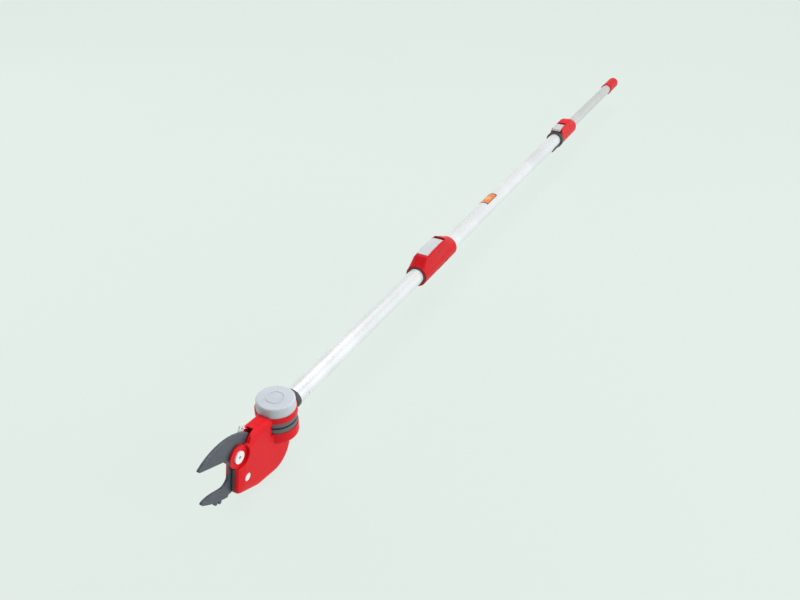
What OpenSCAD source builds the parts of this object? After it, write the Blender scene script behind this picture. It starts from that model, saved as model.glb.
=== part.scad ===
// Telescopic tree pruner pole: three nested tubes held by two lever clamps, a cutting
// head on a swivel at one end and a pull knob at the other. The pole's axis is X, from
// the butt at the origin to the head, +Z is up, and the blades work in the plane Y = 0.
// A cord inside the pole runs from the pull knob round a tail pulley on the blade.
// Sizes are in millimetres and degrees.

/* [Pole tubes] */
// Outer diameter of the lower tube, the innermost of the three
lower_tube_d = 25; // [23:0.5:27]
// Wall thickness of the tubes
tube_wall = 1.2; // [1:0.1:1.5]
// Radial running gap between nested tubes
tube_gap = 0.3; // [0.3:0.05:0.5]
// Bare length of lower tube between the pull knob and the lower clamp
lower_show = 376; // [320:1:420]
// Bare length of middle tube between the two clamps
middle_show = 643.5; // [580:0.5:700]
// Bare length of upper tube between the upper clamp and the swivel socket
upper_show = 379; // [320:1:400]
// Full length of the lower tube
lower_tube_len = 740; // [700:5:800]
// Full length of the upper tube
upper_tube_len = 771; // [740:1:820]
// Length of the end bushes of the sliding tubes
bush_len = 12; // [8:1:20]

/* [Pull knob] */
// Length of the pull knob
pull_len = 88; // [80:1:100]
// Wall of the pull knob round the lower tube
pull_wall = 2.2; // [1.8:0.1:4]
// Length of the closed butt end of the pull knob
pull_end = 34; // [30:1:40]
// Rounding radius of the butt end
pull_round = 9; // [5:0.5:11]
// Length of the dark ring at the mouth of the pull knob
pull_rim = 5; // [3:0.5:10]
// Length of the guide stem that slides in the lower tube
stem_len = 112; // [95:1:140]

/* [Tube clamps] */
// Length of the upper clamp
upper_clamp_len = 132.5; // [131:0.5:140]
// Length of the lower clamp with its collar
lower_clamp_len = 126; // [125:1:140]
// Wall of the clamp sleeves over the middle tube
clamp_wall = 4; // [3.5:0.25:5]
// Depth to which the middle tube enters each clamp
clamp_seat = 36; // [30:1:38]
// Width of the lever housings
block_w = 27; // [26.5:0.5:29]
// Height of the upper lever housing over the tube axis
upper_block_h = 35; // [34:0.5:38]
// Height of the lower lever housing over the tube axis
lower_block_h = 30.5; // [30:0.5:33]
// Width of the levers
lever_w = 20; // [18:0.5:20.5]
// Thickness of the levers
lever_t = 5; // [4:0.25:5.5]
// Place of the upper lever's hinge from the butt side of its clamp
upper_hinge = 46; // [45:0.5:48]
// Reach of the upper lever from its hinge to its free end
upper_lever_len = 66; // [62:0.5:66.5]
// Distance of the lower lever's hinge behind the middle tube's end
lower_hinge_back = 10; // [9.5:0.5:13]
// Reach of the lower lever from its hinge to its free end
lower_lever_len = 40; // [36:1:42]
// Diameter of the hinge barrel of the levers
barrel_d = 10; // [9:0.5:10.5]
// Diameter of the cross pins of the clamps
clamp_pin_d = 4; // [3:0.25:4.5]
// Length of the mouth bushes of the clamps
mouth_bush_len = 20; // [14:1:24]
// Length of the dark collar of the lower clamp
collar_len = 12; // [9:0.5:14]
// Length of the tongue of the lower clamp's collar
tongue_len = 45; // [30:1:60]

/* [Swivel] */
// Distance from the upper tube's end to the swivel axis
socket_len = 38; // [37:0.5:44]
// Outer diameter of the swivel drum and its upper disc
drum_d = 57; // [56:0.5:58]
// Thickness of the swivel eye
eye_t = 16.4; // [15.5:0.1:17.5]
// Drop of the eye's middle below the tube axis
eye_drop = 3.8; // [3:0.1:4.6]
// Thickness of the upper disc of the drum
disc_t = 8.2; // [8:0.2:10.4]
// Thickness of the drum below the eye
drum_floor = 17.8; // [16:0.2:20]
// Half angle of the closed front wall of the drum
front_angle = 21; // [20:1:25]
// Diameter of the swivel knob
knob_d = 54; // [48:0.5:54.5]
// Height of the swivel knob
knob_h = 15; // [14:0.5:16]
// Diameter of the knob's threaded stud
stud_d = 8; // [6:0.5:9]
// Diameter of the pull cord
cord_d = 2.5; // [2:0.1:3]

/* [Cutting head] */
// Distance from the swivel axis to the blade pivot
pivot_x = 91.5; // [90:0.5:93]
// Height of the blade pivot over the tube axis
pivot_z = 1; // [0:0.5:3]
// Half thickness of the head housing
shell_t = 12; // [11.5:0.25:13.5]
// Half thickness of the housing at its edges
shell_edge = 7; // [6.5:0.25:8]
// Half width of the hollow inside the housing
hollow_t = 5; // [4.8:0.1:5.4]
// Wall between the housing's edge and its hollow
rim_wall = 4.5; // [3.5:0.25:6]
// Radius of the ear round the blade pivot
ear_r = 15.5; // [14.5:0.5:16.5]
// Thickness of the cutting blade and of the hook blade
blade_t = 4; // [3:0.25:4.2]
// Diameter of the blade pivot bolt
pivot_d = 8; // [7:0.5:9]
// Diameter of the hook blade's bolt
hook_bolt_d = 6; // [5:0.5:6.5]
// Radius of the tail pulley
pulley_r = 7; // [6:0.25:7.5]
// Wire diameter of the return spring
spring_wire = 1.1; // [0.9:0.1:1.3]
// Outer diameter of the return spring
spring_d = 6; // [5.5:0.25:6.5]
// Number of turns of the return spring
spring_turns = 8; // [6:1:9]

/* [Hidden] */
$fn = 64;

// Clearances: seated pieces of one body, running fits, and gaps between free pieces
seat_gap = 0.05;
run_gap = 0.08;
free_gap = 0.4;
// Overshoot of cuts past the face that they open
cut = 1;

// Tube diameters, from the inside out
lower_bore_d = lower_tube_d - 2 * tube_wall;
upper_bore_d = lower_tube_d + 2 * tube_gap;
upper_tube_d = upper_bore_d + 2 * tube_wall;
middle_bore_d = upper_tube_d + 2 * tube_gap;
middle_tube_d = middle_bore_d + 2 * tube_wall;
pull_d = lower_tube_d + 2 * (tube_gap + pull_wall);
clamp_r = middle_tube_d / 2 + clamp_wall;

// Places along the pole
lower_clamp_x = pull_len + lower_show;
lower_clamp_end = lower_clamp_x + lower_clamp_len;
upper_clamp_x = lower_clamp_end + middle_show;
upper_clamp_end = upper_clamp_x + upper_clamp_len;
upper_end_x = upper_clamp_end + upper_show;
upper_start_x = upper_end_x - upper_tube_len;
lower_end_x = pull_end + lower_tube_len;
swivel_x = upper_end_x + socket_len;

// Place of the lower lever's hinge from the butt side of its clamp
lower_hinge = lower_clamp_len - clamp_seat - lower_hinge_back;

// Lever arches: radius, and heights of the lever tops and of the hinges
upper_arch_r = 160;
lower_arch_r = 70;
lever_rise = 2;
hinge_cover = 0.6;
upper_lever_z = upper_block_h + lever_rise;
lower_lever_z = lower_block_h;
function hinge_z(top, arch, len) =
    top - arch + sqrt(pow(arch, 2) - pow(len / 2, 2)) - barrel_d / 2 - hinge_cover;
upper_hinge_z = hinge_z(upper_lever_z, upper_arch_r, upper_lever_len);
lower_hinge_z = hinge_z(lower_lever_z, lower_arch_r, lower_lever_len);

// Brake shoes: half width, and the places of their ends and pins from the hinge
shoe_half_w = 7;
shoe_boss_r = 4;
upper_shoe_from = -7;
upper_shoe_to = 38;
upper_shoe_pin = 29;
lower_shoe_from = -34;
lower_shoe_to = 8;
lower_shoe_pin = -26;

// Clamp screws: shank and head radii, and their places from the middle tube's seat
clamp_screw_r = 1.5;
clamp_screw_head_r = 3;
clamp_screw_head_t = 1.8;
clamp_screw_first = 7;
clamp_screw_pitch = 11;

// Swivel levels and radii
eye_top = eye_t / 2 - eye_drop;
eye_low = eye_top - eye_t;
eye_mid = (eye_top + eye_low) / 2;
swivel_gap = 0.2;
disc_low = eye_top + swivel_gap;
disc_top = disc_low + disc_t;
drum_top = eye_low - swivel_gap;
drum_low = drum_top - drum_floor;
drum_r = drum_d / 2;
eye_r = drum_r - 1;
knob_low = disc_top + swivel_gap;
cheek_slot = 5.4;
cord_slot = cord_d + 0.6;
roller_r = 7;
roller_groove_r = 5;
roller_t = 4.6;
cord_y = -(roller_groove_r + cord_d / 2 + tube_gap);
swivel_nut_w = 13;
swivel_nut_t = 6;
spigot_len = 45;
spigot_bore_r = 9.4;
socket_lip = 0.6;
rivet_r = 2;
rivet_from_end = 22;

// Head places, from the swivel axis in X and Z
arm_x = pivot_x - 23.5;
arm_z = pivot_z - 32;
lug_x = pivot_x - 21;
lug_z = pivot_z + 28;
hook_bolt_x = pivot_x - 8.5;
hook_bolt_z = pivot_z - 39.5;
head_roller_x = 37;
head_roller_r = 6;
head_roller_z = eye_mid - roller_groove_r - cord_d / 2 - tube_gap;
anchor_x = 36;
anchor_z = -24;
peg_x = 34;
peg_z = 0.5;
pin_r = 2;
pin_end = 2;
shell_screw_places = [[2, -54], [56, -62]];
shell_screw_r = 1.8;
shell_screw_head_r = 3.6;
pivot_head_r = 8.5;
pivot_head_t = 2.4;
pivot_nut_w = 13;
nut_t = 5;
hook_head_r = 5.5;
hook_head_t = 3;
hook_seat_y = 7;
hook_head_y = 8.5;
hook_nut_w = 10;
blade_face = 0.15;
hub_r = 13;
far_ear_r = hub_r + 0.5;
// Housing outline as discs [x, z, radius]: heel, belly, front corner, pivot, nose and neck
housing_discs = [
    [22, -42, 35.5], [55, -41, 31], [pivot_x + 4.5, -48, 8], [pivot_x - 6, pivot_z + 1, 9],
    [57, 12, 6], [14, 7.5, 6]
];
// Outline of the flat of the housing's sides, further in
flat_discs = [[22, -42, 29], [52, -41, 25], [pivot_x - 9, -42, 9], [70, -6, 9], [22, 1, 8]];

// Points of a cubic curve, without its last point
function curve(a, b, c, d, steps = 12) = [
    for (i = [0 : steps - 1]) let (t = i / steps, s = 1 - t)
        s * s * s * a + 3 * s * s * t * b + 3 * s * t * t * c + t * t * t * d
];

// Shapes shared by several pieces

module rod_x(from, to, d) {
    translate([from, 0, 0]) rotate([0, 90, 0]) cylinder(h = to - from, d = d);
}

module tube_x(from, to, d, bore) {
    difference() {
        rod_x(from, to, d);
        rod_x(from - cut, to + cut, bore);
    }
}

module rod_y(x, z, from, to, r) {
    translate([x, from, z]) rotate([-90, 0, 0]) cylinder(h = to - from, r = r);
}

// Plate in the XZ plane, from a drawing whose second axis is Z
module plate_y(from, to) {
    translate([0, to, 0]) rotate([90, 0, 0]) linear_extrude(to - from) children();
}

module hex_y(x, z, from, to, across) {
    translate([x, from, z]) rotate([-90, 0, 0]) cylinder(h = to - from, d = across / cos(30), $fn = 6);
}

module at_head() {
    translate([swivel_x, 0, 0]) children();
}

// Straight rod between two points
module rod_between(a, b, r) {
    v = b - a;
    translate(a) rotate([0, acos(v[2] / norm(v)), atan2(v[1], v[0])]) cylinder(h = norm(v), r = r, $fn = 24);
}

// Grooved roller round Z, centred on the origin
module roller(r, groove_r, bore_r, t) {
    groove = cord_d / 2 + tube_gap;
    rotate_extrude() difference() {
        translate([bore_r, -t / 2]) square([r - bore_r, t]);
        translate([groove_r + groove, 0]) circle(r = groove);
        translate([groove_r + groove, -groove]) square([r, 2 * groove]);
    }
}

// Pole tubes

module middle_tube() {
    color("whitesmoke") difference() {
        tube_x(lower_clamp_end - clamp_seat, upper_clamp_x + clamp_seat, middle_tube_d, middle_bore_d);
        clamp_screw_holes(upper_clamp_x, 0, clamp_screw_r + seat_gap);
        clamp_screw_holes(lower_clamp_x, lower_clamp_len - clamp_seat, clamp_screw_r + seat_gap);
    }
}

module upper_tube() {
    color("whitesmoke") difference() {
        tube_x(upper_start_x, upper_end_x, upper_tube_d, upper_bore_d);
        rod_y(upper_end_x - rivet_from_end, 0, -upper_tube_d, upper_tube_d, rivet_r + seat_gap);
    }
}

module upper_tube_bush() {
    color("dimgray") tube_x(upper_start_x - bush_len, upper_start_x, upper_tube_d, upper_bore_d);
}

module lower_tube() {
    color("whitesmoke") tube_x(pull_end, lower_end_x, lower_tube_d, lower_bore_d);
}

module lower_tube_bush() {
    flange = 3;
    bore_d = 2 * (norm([cord_y, eye_mid]) + cord_d / 2 + free_gap);
    color("dimgray") {
        tube_x(lower_end_x, lower_end_x + flange, lower_tube_d, bore_d);
        tube_x(lower_end_x - bush_len, lower_end_x, lower_bore_d - 2 * seat_gap, bore_d);
    }
}

// Tube clamps

module clamp_screw_holes(x, seat_from, r) {
    for (i = [0, 1])
        translate([x + seat_from + clamp_screw_first + i * clamp_screw_pitch, 0, 0])
            rotate([180, 0, 0]) cylinder(h = clamp_r + cut, r = r);
}

// Flat-headed screws through the underside of a sleeve into the middle tube's wall
module clamp_screws(x, seat_from) {
    color("silver") for (i = [0, 1])
        translate([x + seat_from + clamp_screw_first + i * clamp_screw_pitch, 0, 0]) rotate([180, 0, 0]) {
            translate([0, 0, middle_bore_d / 2 + tube_wall / 4])
                cylinder(h = clamp_r - middle_bore_d / 2 - clamp_screw_head_t, r = clamp_screw_r);
            translate([0, 0, clamp_r - clamp_screw_head_t - tube_wall / 2])
                cylinder(h = clamp_screw_head_t, r = clamp_screw_head_r);
        }
}

module clamp_screw_seats(x, seat_from) {
    clamp_screw_holes(x, seat_from, clamp_screw_r + seat_gap);
    for (i = [0, 1])
        translate([x + seat_from + clamp_screw_first + i * clamp_screw_pitch, 0, 0]) rotate([180, 0, 0])
            translate([0, 0, clamp_r - clamp_screw_head_t - tube_wall / 2 - seat_gap])
                cylinder(h = clamp_wall, r = clamp_screw_head_r + seat_gap);
}

// Thin slices that a lever housing is drawn between: its two crests, and the round sunk a little
// into the sleeve
slice_t = 1;
dome_from = 3;
module crest_slice(u, top) {
    crest_r = 6.5;
    for (side = [-1, 1])
        translate([u, side * (block_w / 2 - crest_r), top - crest_r])
            rotate([0, 90, 0]) cylinder(h = slice_t, r1 = crest_r, r2 = crest_r - 0.1, $fn = 32);
}

module sleeve_slice(u, sunk) {
    rod_x(u, u + slice_t, 2 * (clamp_r - sunk), $fn = 32);
}

// Side view of a lever: an arch from its hinge barrel to a rounded free end
module lever_side(hinge, len, top, arch, barrel_z) {
    mid = hinge + len / 2;
    difference() {
        intersection() {
            translate([mid, top - arch]) circle(r = arch, $fn = 180);
            translate([hinge, barrel_z]) square([len, arch]);
        }
        translate([mid, top - arch]) circle(r = arch - lever_t, $fn = 180);
    }
    translate([hinge, barrel_z]) circle(d = barrel_d);
}

module clamp_lever(x, hinge, len, top, arch, barrel_z) {
    difference() {
        translate([x, 0, 0]) plate_y(-lever_w / 2, lever_w / 2)
            lever_side(hinge, len, top, arch, barrel_z);
        rod_y(x + hinge, barrel_z, -lever_w, lever_w, clamp_pin_d / 2 + run_gap);
    }
}

// Room for a lever and its swing: a channel open to the top
module lever_room(x, hinge, len, barrel_z) {
    pocket_r = barrel_d / 2 + 1.5;
    floor_z = barrel_z - 2;
    half_w = lever_w / 2 + free_gap;
    rod_y(x + hinge, barrel_z, -half_w, half_w, pocket_r);
    translate([x + hinge - pocket_r, -half_w, barrel_z]) cube([2 * pocket_r, 2 * half_w, clamp_r]);
    translate([x + hinge, -half_w, floor_z]) cube([len + 2 * free_gap, 2 * half_w, clamp_r]);
}

// Hinge pin hole, open on the -Y side only
module lever_pin_hole(x, hinge, barrel_z) {
    rod_y(x + hinge, barrel_z, -block_w, lever_pin_end() + seat_gap, clamp_pin_d / 2 + seat_gap);
}

function lever_pin_end() = block_w / 2 - 1.5;

module lever_pin(x, hinge, barrel_z) {
    color("silver")
        rod_y(x + hinge, barrel_z, -lever_pin_end(), lever_pin_end(), clamp_pin_d / 2);
}

// Window for a brake shoe through the top of a sleeve
module shoe_window(x, hinge, from, to, top) {
    translate([x + hinge + from - free_gap, -shoe_half_w - free_gap, 0])
        cube([to - from + 2 * free_gap, 2 * (shoe_half_w + free_gap), top]);
}

// Brake shoe: a block hollowed to its tube, pivoted on a cross pin, under the lever's barrel
module clamp_shoe(x, hinge, from, to, pin, barrel_z, tube_d) {
    top = barrel_z - barrel_d / 2 - free_gap;
    pin_z = barrel_z - shoe_boss_r;
    difference() {
        union() {
            translate([x + hinge + from, -shoe_half_w, 0]) cube([to - from, 2 * shoe_half_w, top]);
            rod_y(x + hinge + pin, pin_z, -shoe_half_w, shoe_half_w, shoe_boss_r);
        }
        rod_x(0, swivel_x, tube_d + 2 * tube_gap);
        rod_y(x + hinge + pin, pin_z, -block_w, block_w, clamp_pin_d / 2 + seat_gap);
    }
}

// Shallow long recess low on each side of a sleeve
recess_from = 42;
recess_to = 82;
recess_half_w = 4;
recess_t = 1.2;
recess_turn = 20;
module side_recess(x) {
    for (side = [-1, 1]) rotate([-side * recess_turn, 0, 0])
        translate([x + recess_from, side < 0 ? -2 * clamp_r + recess_t : clamp_r - recess_t, -recess_half_w])
            cube([recess_to - recess_from, clamp_r, 2 * recess_half_w]);
}

module upper_clamp_body() {
    front = upper_hinge + upper_lever_len + 6;
    foot = upper_clamp_len - slice_t - 0.5;
    scoop_r = 22;
    rear_chamfer = 3;
    color("crimson") difference() {
        union() {
            rod_x(upper_clamp_x + rear_chamfer, upper_clamp_end, 2 * clamp_r);
            translate([upper_clamp_x, 0, 0]) rotate([0, 90, 0])
                cylinder(h = rear_chamfer, r1 = clamp_r - rear_chamfer + 1, r2 = clamp_r);
            translate([upper_clamp_x, 0, 0]) hull() {
                sleeve_slice(dome_from, 2);
                crest_slice(dome_from, clamp_r - 2);
                crest_slice(16, upper_block_h - 10.5);
                crest_slice(30, upper_block_h - 4.5);
                crest_slice(upper_hinge - 6, upper_block_h);
                crest_slice(upper_hinge + 40, upper_block_h);
                crest_slice(front - 1, upper_block_h - 2.5);
                crest_slice(foot, clamp_r - 2);
                sleeve_slice(foot, 0.5);
            }
        }
        rod_x(upper_clamp_x - cut, upper_clamp_x + clamp_seat, middle_tube_d + 2 * seat_gap);
        rod_x(upper_clamp_x, upper_clamp_end, upper_tube_d + 2 * free_gap);
        rod_x(upper_clamp_end - mouth_bush_len, upper_clamp_end + cut, mouth_bush_d(upper_tube_d));
        lever_room(upper_clamp_x, upper_hinge, upper_lever_len, upper_hinge_z);
        lever_pin_hole(upper_clamp_x, upper_hinge, upper_hinge_z);
        shoe_window(upper_clamp_x, upper_hinge, upper_shoe_from, upper_shoe_to, upper_hinge_z);
        rod_y(upper_clamp_x + upper_hinge + upper_shoe_pin, upper_hinge_z - shoe_boss_r,
            -block_w, block_w, clamp_pin_d / 2 + seat_gap);
        rod_y(upper_clamp_x + front + scoop_r, clamp_r + scoop_r + free_gap, -block_w, block_w, scoop_r);
        side_recess(upper_clamp_x);
        clamp_screw_seats(upper_clamp_x, 0);
    }
}

function mouth_bush_d(tube_d) = tube_d + 2 * (tube_gap + 2.4) + 2 * seat_gap;

// Bush at the mouth of a clamp, standing a lip proud of it
module mouth_bush(from, to, tube_d) {
    color("dimgray") tube_x(from, to, mouth_bush_d(tube_d) - 2 * seat_gap, tube_d + 2 * tube_gap);
}

module upper_clamp_bush() {
    lip = 0.8;
    mouth_bush(upper_clamp_end - mouth_bush_len, upper_clamp_end + lip, upper_tube_d);
}

module upper_clamp_shoe() {
    color("black") clamp_shoe(upper_clamp_x, upper_hinge, upper_shoe_from, upper_shoe_to, upper_shoe_pin,
        upper_hinge_z, upper_tube_d);
}

module upper_lever_pin() {
    lever_pin(upper_clamp_x, upper_hinge, upper_hinge_z);
}

module upper_shoe_pin() {
    color("silver") rod_y(upper_clamp_x + upper_hinge + upper_shoe_pin, upper_hinge_z - shoe_boss_r,
        -block_w / 2, block_w / 2, clamp_pin_d / 2);
}

module upper_clamp_screws() {
    clamp_screws(upper_clamp_x, 0);
}

module upper_clamp_lever() {
    color("lightgray") clamp_lever(upper_clamp_x, upper_hinge, upper_lever_len, upper_lever_z,
        upper_arch_r, upper_hinge_z);
}

module lower_clamp_body() {
    seat_x = lower_clamp_len - clamp_seat;
    front = lower_clamp_len - collar_len - 2;
    rear_chamfer = 3;
    color("crimson") difference() {
        union() {
            rod_x(lower_clamp_x + rear_chamfer, lower_clamp_end - collar_len, 2 * clamp_r);
            translate([lower_clamp_x, 0, 0]) rotate([0, 90, 0])
                cylinder(h = rear_chamfer, r1 = clamp_r - rear_chamfer + 1, r2 = clamp_r);
            rod_x(lower_clamp_x + seat_x, lower_clamp_end - collar_lip, collar_seat_d());
            translate([lower_clamp_x, 0, 0]) hull() {
                sleeve_slice(dome_from, 2);
                crest_slice(dome_from, clamp_r - 2);
                crest_slice(18, lower_block_h - 7);
                crest_slice(34, lower_block_h - 2.2);
                crest_slice(lower_hinge - 34, lower_block_h);
                crest_slice(front, lower_block_h - 1.5);
                sleeve_slice(front, 0.5);
            }
        }
        rod_x(lower_clamp_x + seat_x, lower_clamp_end + cut, middle_tube_d + 2 * seat_gap);
        rod_x(lower_clamp_x, lower_clamp_end, lower_tube_d + 2 * free_gap);
        rod_x(lower_clamp_x - cut, lower_clamp_x + mouth_bush_len, mouth_bush_d(lower_tube_d));
        lever_room(lower_clamp_x, lower_hinge, lower_lever_len, lower_hinge_z);
        lever_pin_hole(lower_clamp_x, lower_hinge, lower_hinge_z);
        shoe_window(lower_clamp_x, lower_hinge, lower_shoe_from, lower_shoe_to, lower_hinge_z + 1);
        rod_y(lower_clamp_x + lower_hinge + lower_shoe_pin, lower_hinge_z - shoe_boss_r,
            -lever_pin_end() - seat_gap, block_w, clamp_pin_d / 2 + seat_gap);
        clamp_screw_seats(lower_clamp_x, seat_x);
    }
}

// Dark collar pushed over the head-side end of the lower clamp, with a tongue along the tube
collar_lip = 2;
collar_wall = 3;
function collar_seat_d() = middle_tube_d + 4;

module lower_clamp_collar() {
    tongue_from = 32;
    tongue_turn = 44;
    tongue_t = 2.6;
    tongue_r = middle_tube_d / 2 + free_gap;
    color("dimgray") {
        tube_x(lower_clamp_end - collar_len + free_gap, lower_clamp_end,
            collar_seat_d() + 2 * collar_wall, collar_seat_d() + 2 * seat_gap);
        tube_x(lower_clamp_end - collar_lip, lower_clamp_end, collar_seat_d() + collar_wall,
            2 * tongue_r - free_gap);
        translate([lower_clamp_end - collar_lip / 2, 0, 0]) rotate([0, 90, 0]) rotate([0, 0, tongue_from])
            rotate_extrude(angle = tongue_turn)
                translate([tongue_r, 0]) square([tongue_t, tongue_len]);
    }
}

module lower_clamp_bush() {
    lip = 0.8;
    mouth_bush(lower_clamp_x - lip, lower_clamp_x + mouth_bush_len, lower_tube_d);
}

module lower_clamp_shoe() {
    color("black") clamp_shoe(lower_clamp_x, lower_hinge, lower_shoe_from, lower_shoe_to, lower_shoe_pin,
        lower_hinge_z, lower_tube_d);
}

module lower_lever_pin() {
    lever_pin(lower_clamp_x, lower_hinge, lower_hinge_z);
}

module lower_shoe_pin() {
    color("silver") rod_y(lower_clamp_x + lower_hinge + lower_shoe_pin, lower_hinge_z - shoe_boss_r,
        -lever_pin_end(), lever_pin_end(), clamp_pin_d / 2);
}

module lower_clamp_screws() {
    clamp_screws(lower_clamp_x, lower_clamp_len - clamp_seat);
}

module lower_clamp_lever() {
    color("lightgray") clamp_lever(lower_clamp_x, lower_hinge, lower_lever_len, lower_lever_z,
        lower_arch_r, lower_hinge_z);
}

// Swivel

// Eye with a forked front, a neck, a collar against the tube's end and a spigot in its bore
module swivel_eye() {
    collar_r = upper_tube_d / 2 + socket_lip;
    collar_to = swivel_x - drum_r - 1.5;
    neck_w = 22;
    roller_room = roller_r + 2;
    slot_back = 19;
    color("dimgray") difference() {
        union() {
            rod_x(upper_end_x, collar_to, 2 * collar_r);
            rod_x(upper_end_x - spigot_len, upper_end_x, upper_bore_d - 2 * seat_gap);
            translate([collar_to - cut, -neck_w / 2, eye_low])
                cube([swivel_x - collar_to + cut, neck_w, eye_t]);
            translate([swivel_x, 0, eye_low]) cylinder(h = eye_t, r = eye_r);
        }
        rod_x(upper_end_x - spigot_len - cut, collar_to - 6, 2 * spigot_bore_r);
        translate([swivel_x, 0, eye_mid - cheek_slot / 2]) cylinder(h = cheek_slot, r = roller_room);
        translate([swivel_x - slot_back, -eye_r - cut, eye_mid - cord_slot / 2])
            cube([slot_back + eye_r + cut, 2 * (eye_r + cut), cord_slot]);
        translate([upper_end_x, cord_y - cord_d, eye_mid - cheek_slot / 2])
            cube([socket_len - slot_back + cut, 2 * cord_d, cheek_slot]);
        translate([swivel_x, 0, eye_low - cut])
            cylinder(h = eye_t + 2 * cut, r = stud_d / 2 + run_gap);
        rod_y(upper_end_x - rivet_from_end, 0, -upper_tube_d, upper_tube_d, rivet_r + seat_gap);
    }
}

module socket_rivets() {
    head = 0.8;
    color("silver") for (side = [-1, 1])
        rod_y(upper_end_x - rivet_from_end, 0, side < 0 ? -upper_tube_d / 2 - head : spigot_bore_r + 1,
            side < 0 ? -spigot_bore_r - 1 : upper_tube_d / 2 + head, rivet_r);
}

module guide_roller() {
    color("ivory") translate([swivel_x, 0, eye_mid])
        roller(roller_r, roller_groove_r, stud_d / 2 + run_gap, roller_t);
}

module swivel_knob() {
    edge_r = 2.5;
    draft = 0.8;
    ring_r = 12.5;
    ring_t = 0.6;
    ring_w = 1.2;
    color("lightsteelblue") at_head() translate([0, 0, knob_low]) difference() {
        union() {
            rotate_extrude() union() {
                polygon([[0, 0], [knob_d / 2, 0], [knob_d / 2 - draft, knob_h - edge_r], [0, knob_h - edge_r]]);
                square([knob_d / 2 - draft - edge_r, knob_h - ring_t]);
                translate([knob_d / 2 - draft - edge_r, knob_h - ring_t - edge_r]) intersection() {
                    circle(r = edge_r);
                    square(edge_r);
                }
            }
            translate([0, 0, knob_h - ring_t]) difference() {
                cylinder(h = ring_t, r = ring_r);
                cylinder(h = 3 * ring_t, r = ring_r - ring_w, center = true);
            }
        }
        translate([0, 0, -cut]) cylinder(h = stud_grip() + cut, r = stud_d / 2 + seat_gap);
    }
}

function stud_grip() = 0.65 * knob_h;

module knob_stud() {
    stud_low = drum_low + 1.5;
    color("silver") at_head() translate([0, 0, stud_low])
        cylinder(h = knob_low + stud_grip() - stud_low, d = stud_d);
}

module swivel_nut() {
    color("silver") at_head() translate([0, 0, drum_low + 0.5]) difference() {
        cylinder(h = swivel_nut_t, d = swivel_nut_w / cos(30), $fn = 6);
        translate([0, 0, -cut]) cylinder(h = swivel_nut_t + 2 * cut, r = stud_d / 2 + run_gap);
    }
}

// Head housing

module housing_outline(discs) {
    hull() for (d = discs) translate([d[0], d[1]]) circle(r = d[2]);
}

// Outer form of the whole housing: the swivel drum, the flat body and the ear round the pivot
module housing_form() {
    drum_round = 4;
    rotate_extrude() {
        translate([0, drum_low + drum_round]) square([drum_r, disc_top - drum_low - drum_round]);
        translate([0, drum_low]) square([drum_r - drum_round, drum_round]);
        translate([drum_r - drum_round, drum_low + drum_round]) circle(r = drum_round);
    }
    difference() {
        hull() {
            plate_y(-shell_edge, shell_edge) housing_outline(housing_discs);
            plate_y(-shell_t + 2, shell_t - 2) offset(delta = -1.6) housing_outline(housing_discs);
            plate_y(-shell_t, shell_t) housing_outline(flat_discs);
        }
        plate_y(-drum_d, drum_d) tail_notch();
    }
    rod_y(pivot_x, pivot_z, -ear_face(), ear_face(), far_ear_r);
    rod_y(pivot_x, pivot_z, hollow_t - 1, ear_face(), ear_r);
}

// Sloping notch between the nose and the ear, where the blade's tail shows
module tail_notch() {
    notch_low = pivot_z + 7.8;
    ear_side = pivot_x - 4;
    polygon([[61, 18.6], [67, 14.5], [72.5, notch_low], [ear_side, notch_low], [ear_side, drum_d], [61, drum_d]]);
}

function ear_face() = shell_edge + 0.5;

// Hollow of the housing, drawn from the side: clear of the drum, open at the front and mouth
module hollow_outline() {
    drum_wall = 1.5;
    bay_from = 42;
    bay_top = 15;
    difference() {
        offset(delta = -rim_wall) housing_outline(housing_discs);
        translate([-drum_d, drum_low - rim_wall]) square([drum_d + drum_r + drum_wall, drum_d + rim_wall]);
        for (p = shell_screw_places) translate(p) circle(r = shell_screw_head_r + 1);
    }
    translate([bay_from, 0]) square([mouth_from - bay_from + cut, bay_top]);
    mouth_outline();
    throat_outline();
}

// Slot along the top of the nose for the blade's tail, its lug and the spring
mouth_from = 55;
module mouth_outline() {
    mouth_low = 4;
    translate([mouth_from, mouth_low]) square([pivot_x + ear_r - mouth_from + cut, drum_d]);
}

// Slot in the front edge for the hook blade and the cutting blade
module throat_outline() {
    throat_high = 60;
    translate([pivot_x - 14, pivot_z - 54]) square([ear_r + 20, throat_high]);
}

// Room for the eye: right through the drum, but for the wall that closes its front
module eye_room() {
    reach = drum_d;
    difference() {
        translate([0, 0, drum_top]) rotate([0, 0, 90]) cylinder(h = disc_low - drum_top, r = reach);
        rotate([0, 0, -front_angle]) rotate_extrude(angle = 2 * front_angle)
            translate([eye_r + free_gap, drum_top - cut]) square([reach, disc_low - drum_top + 2 * cut]);
    }
}

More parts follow.
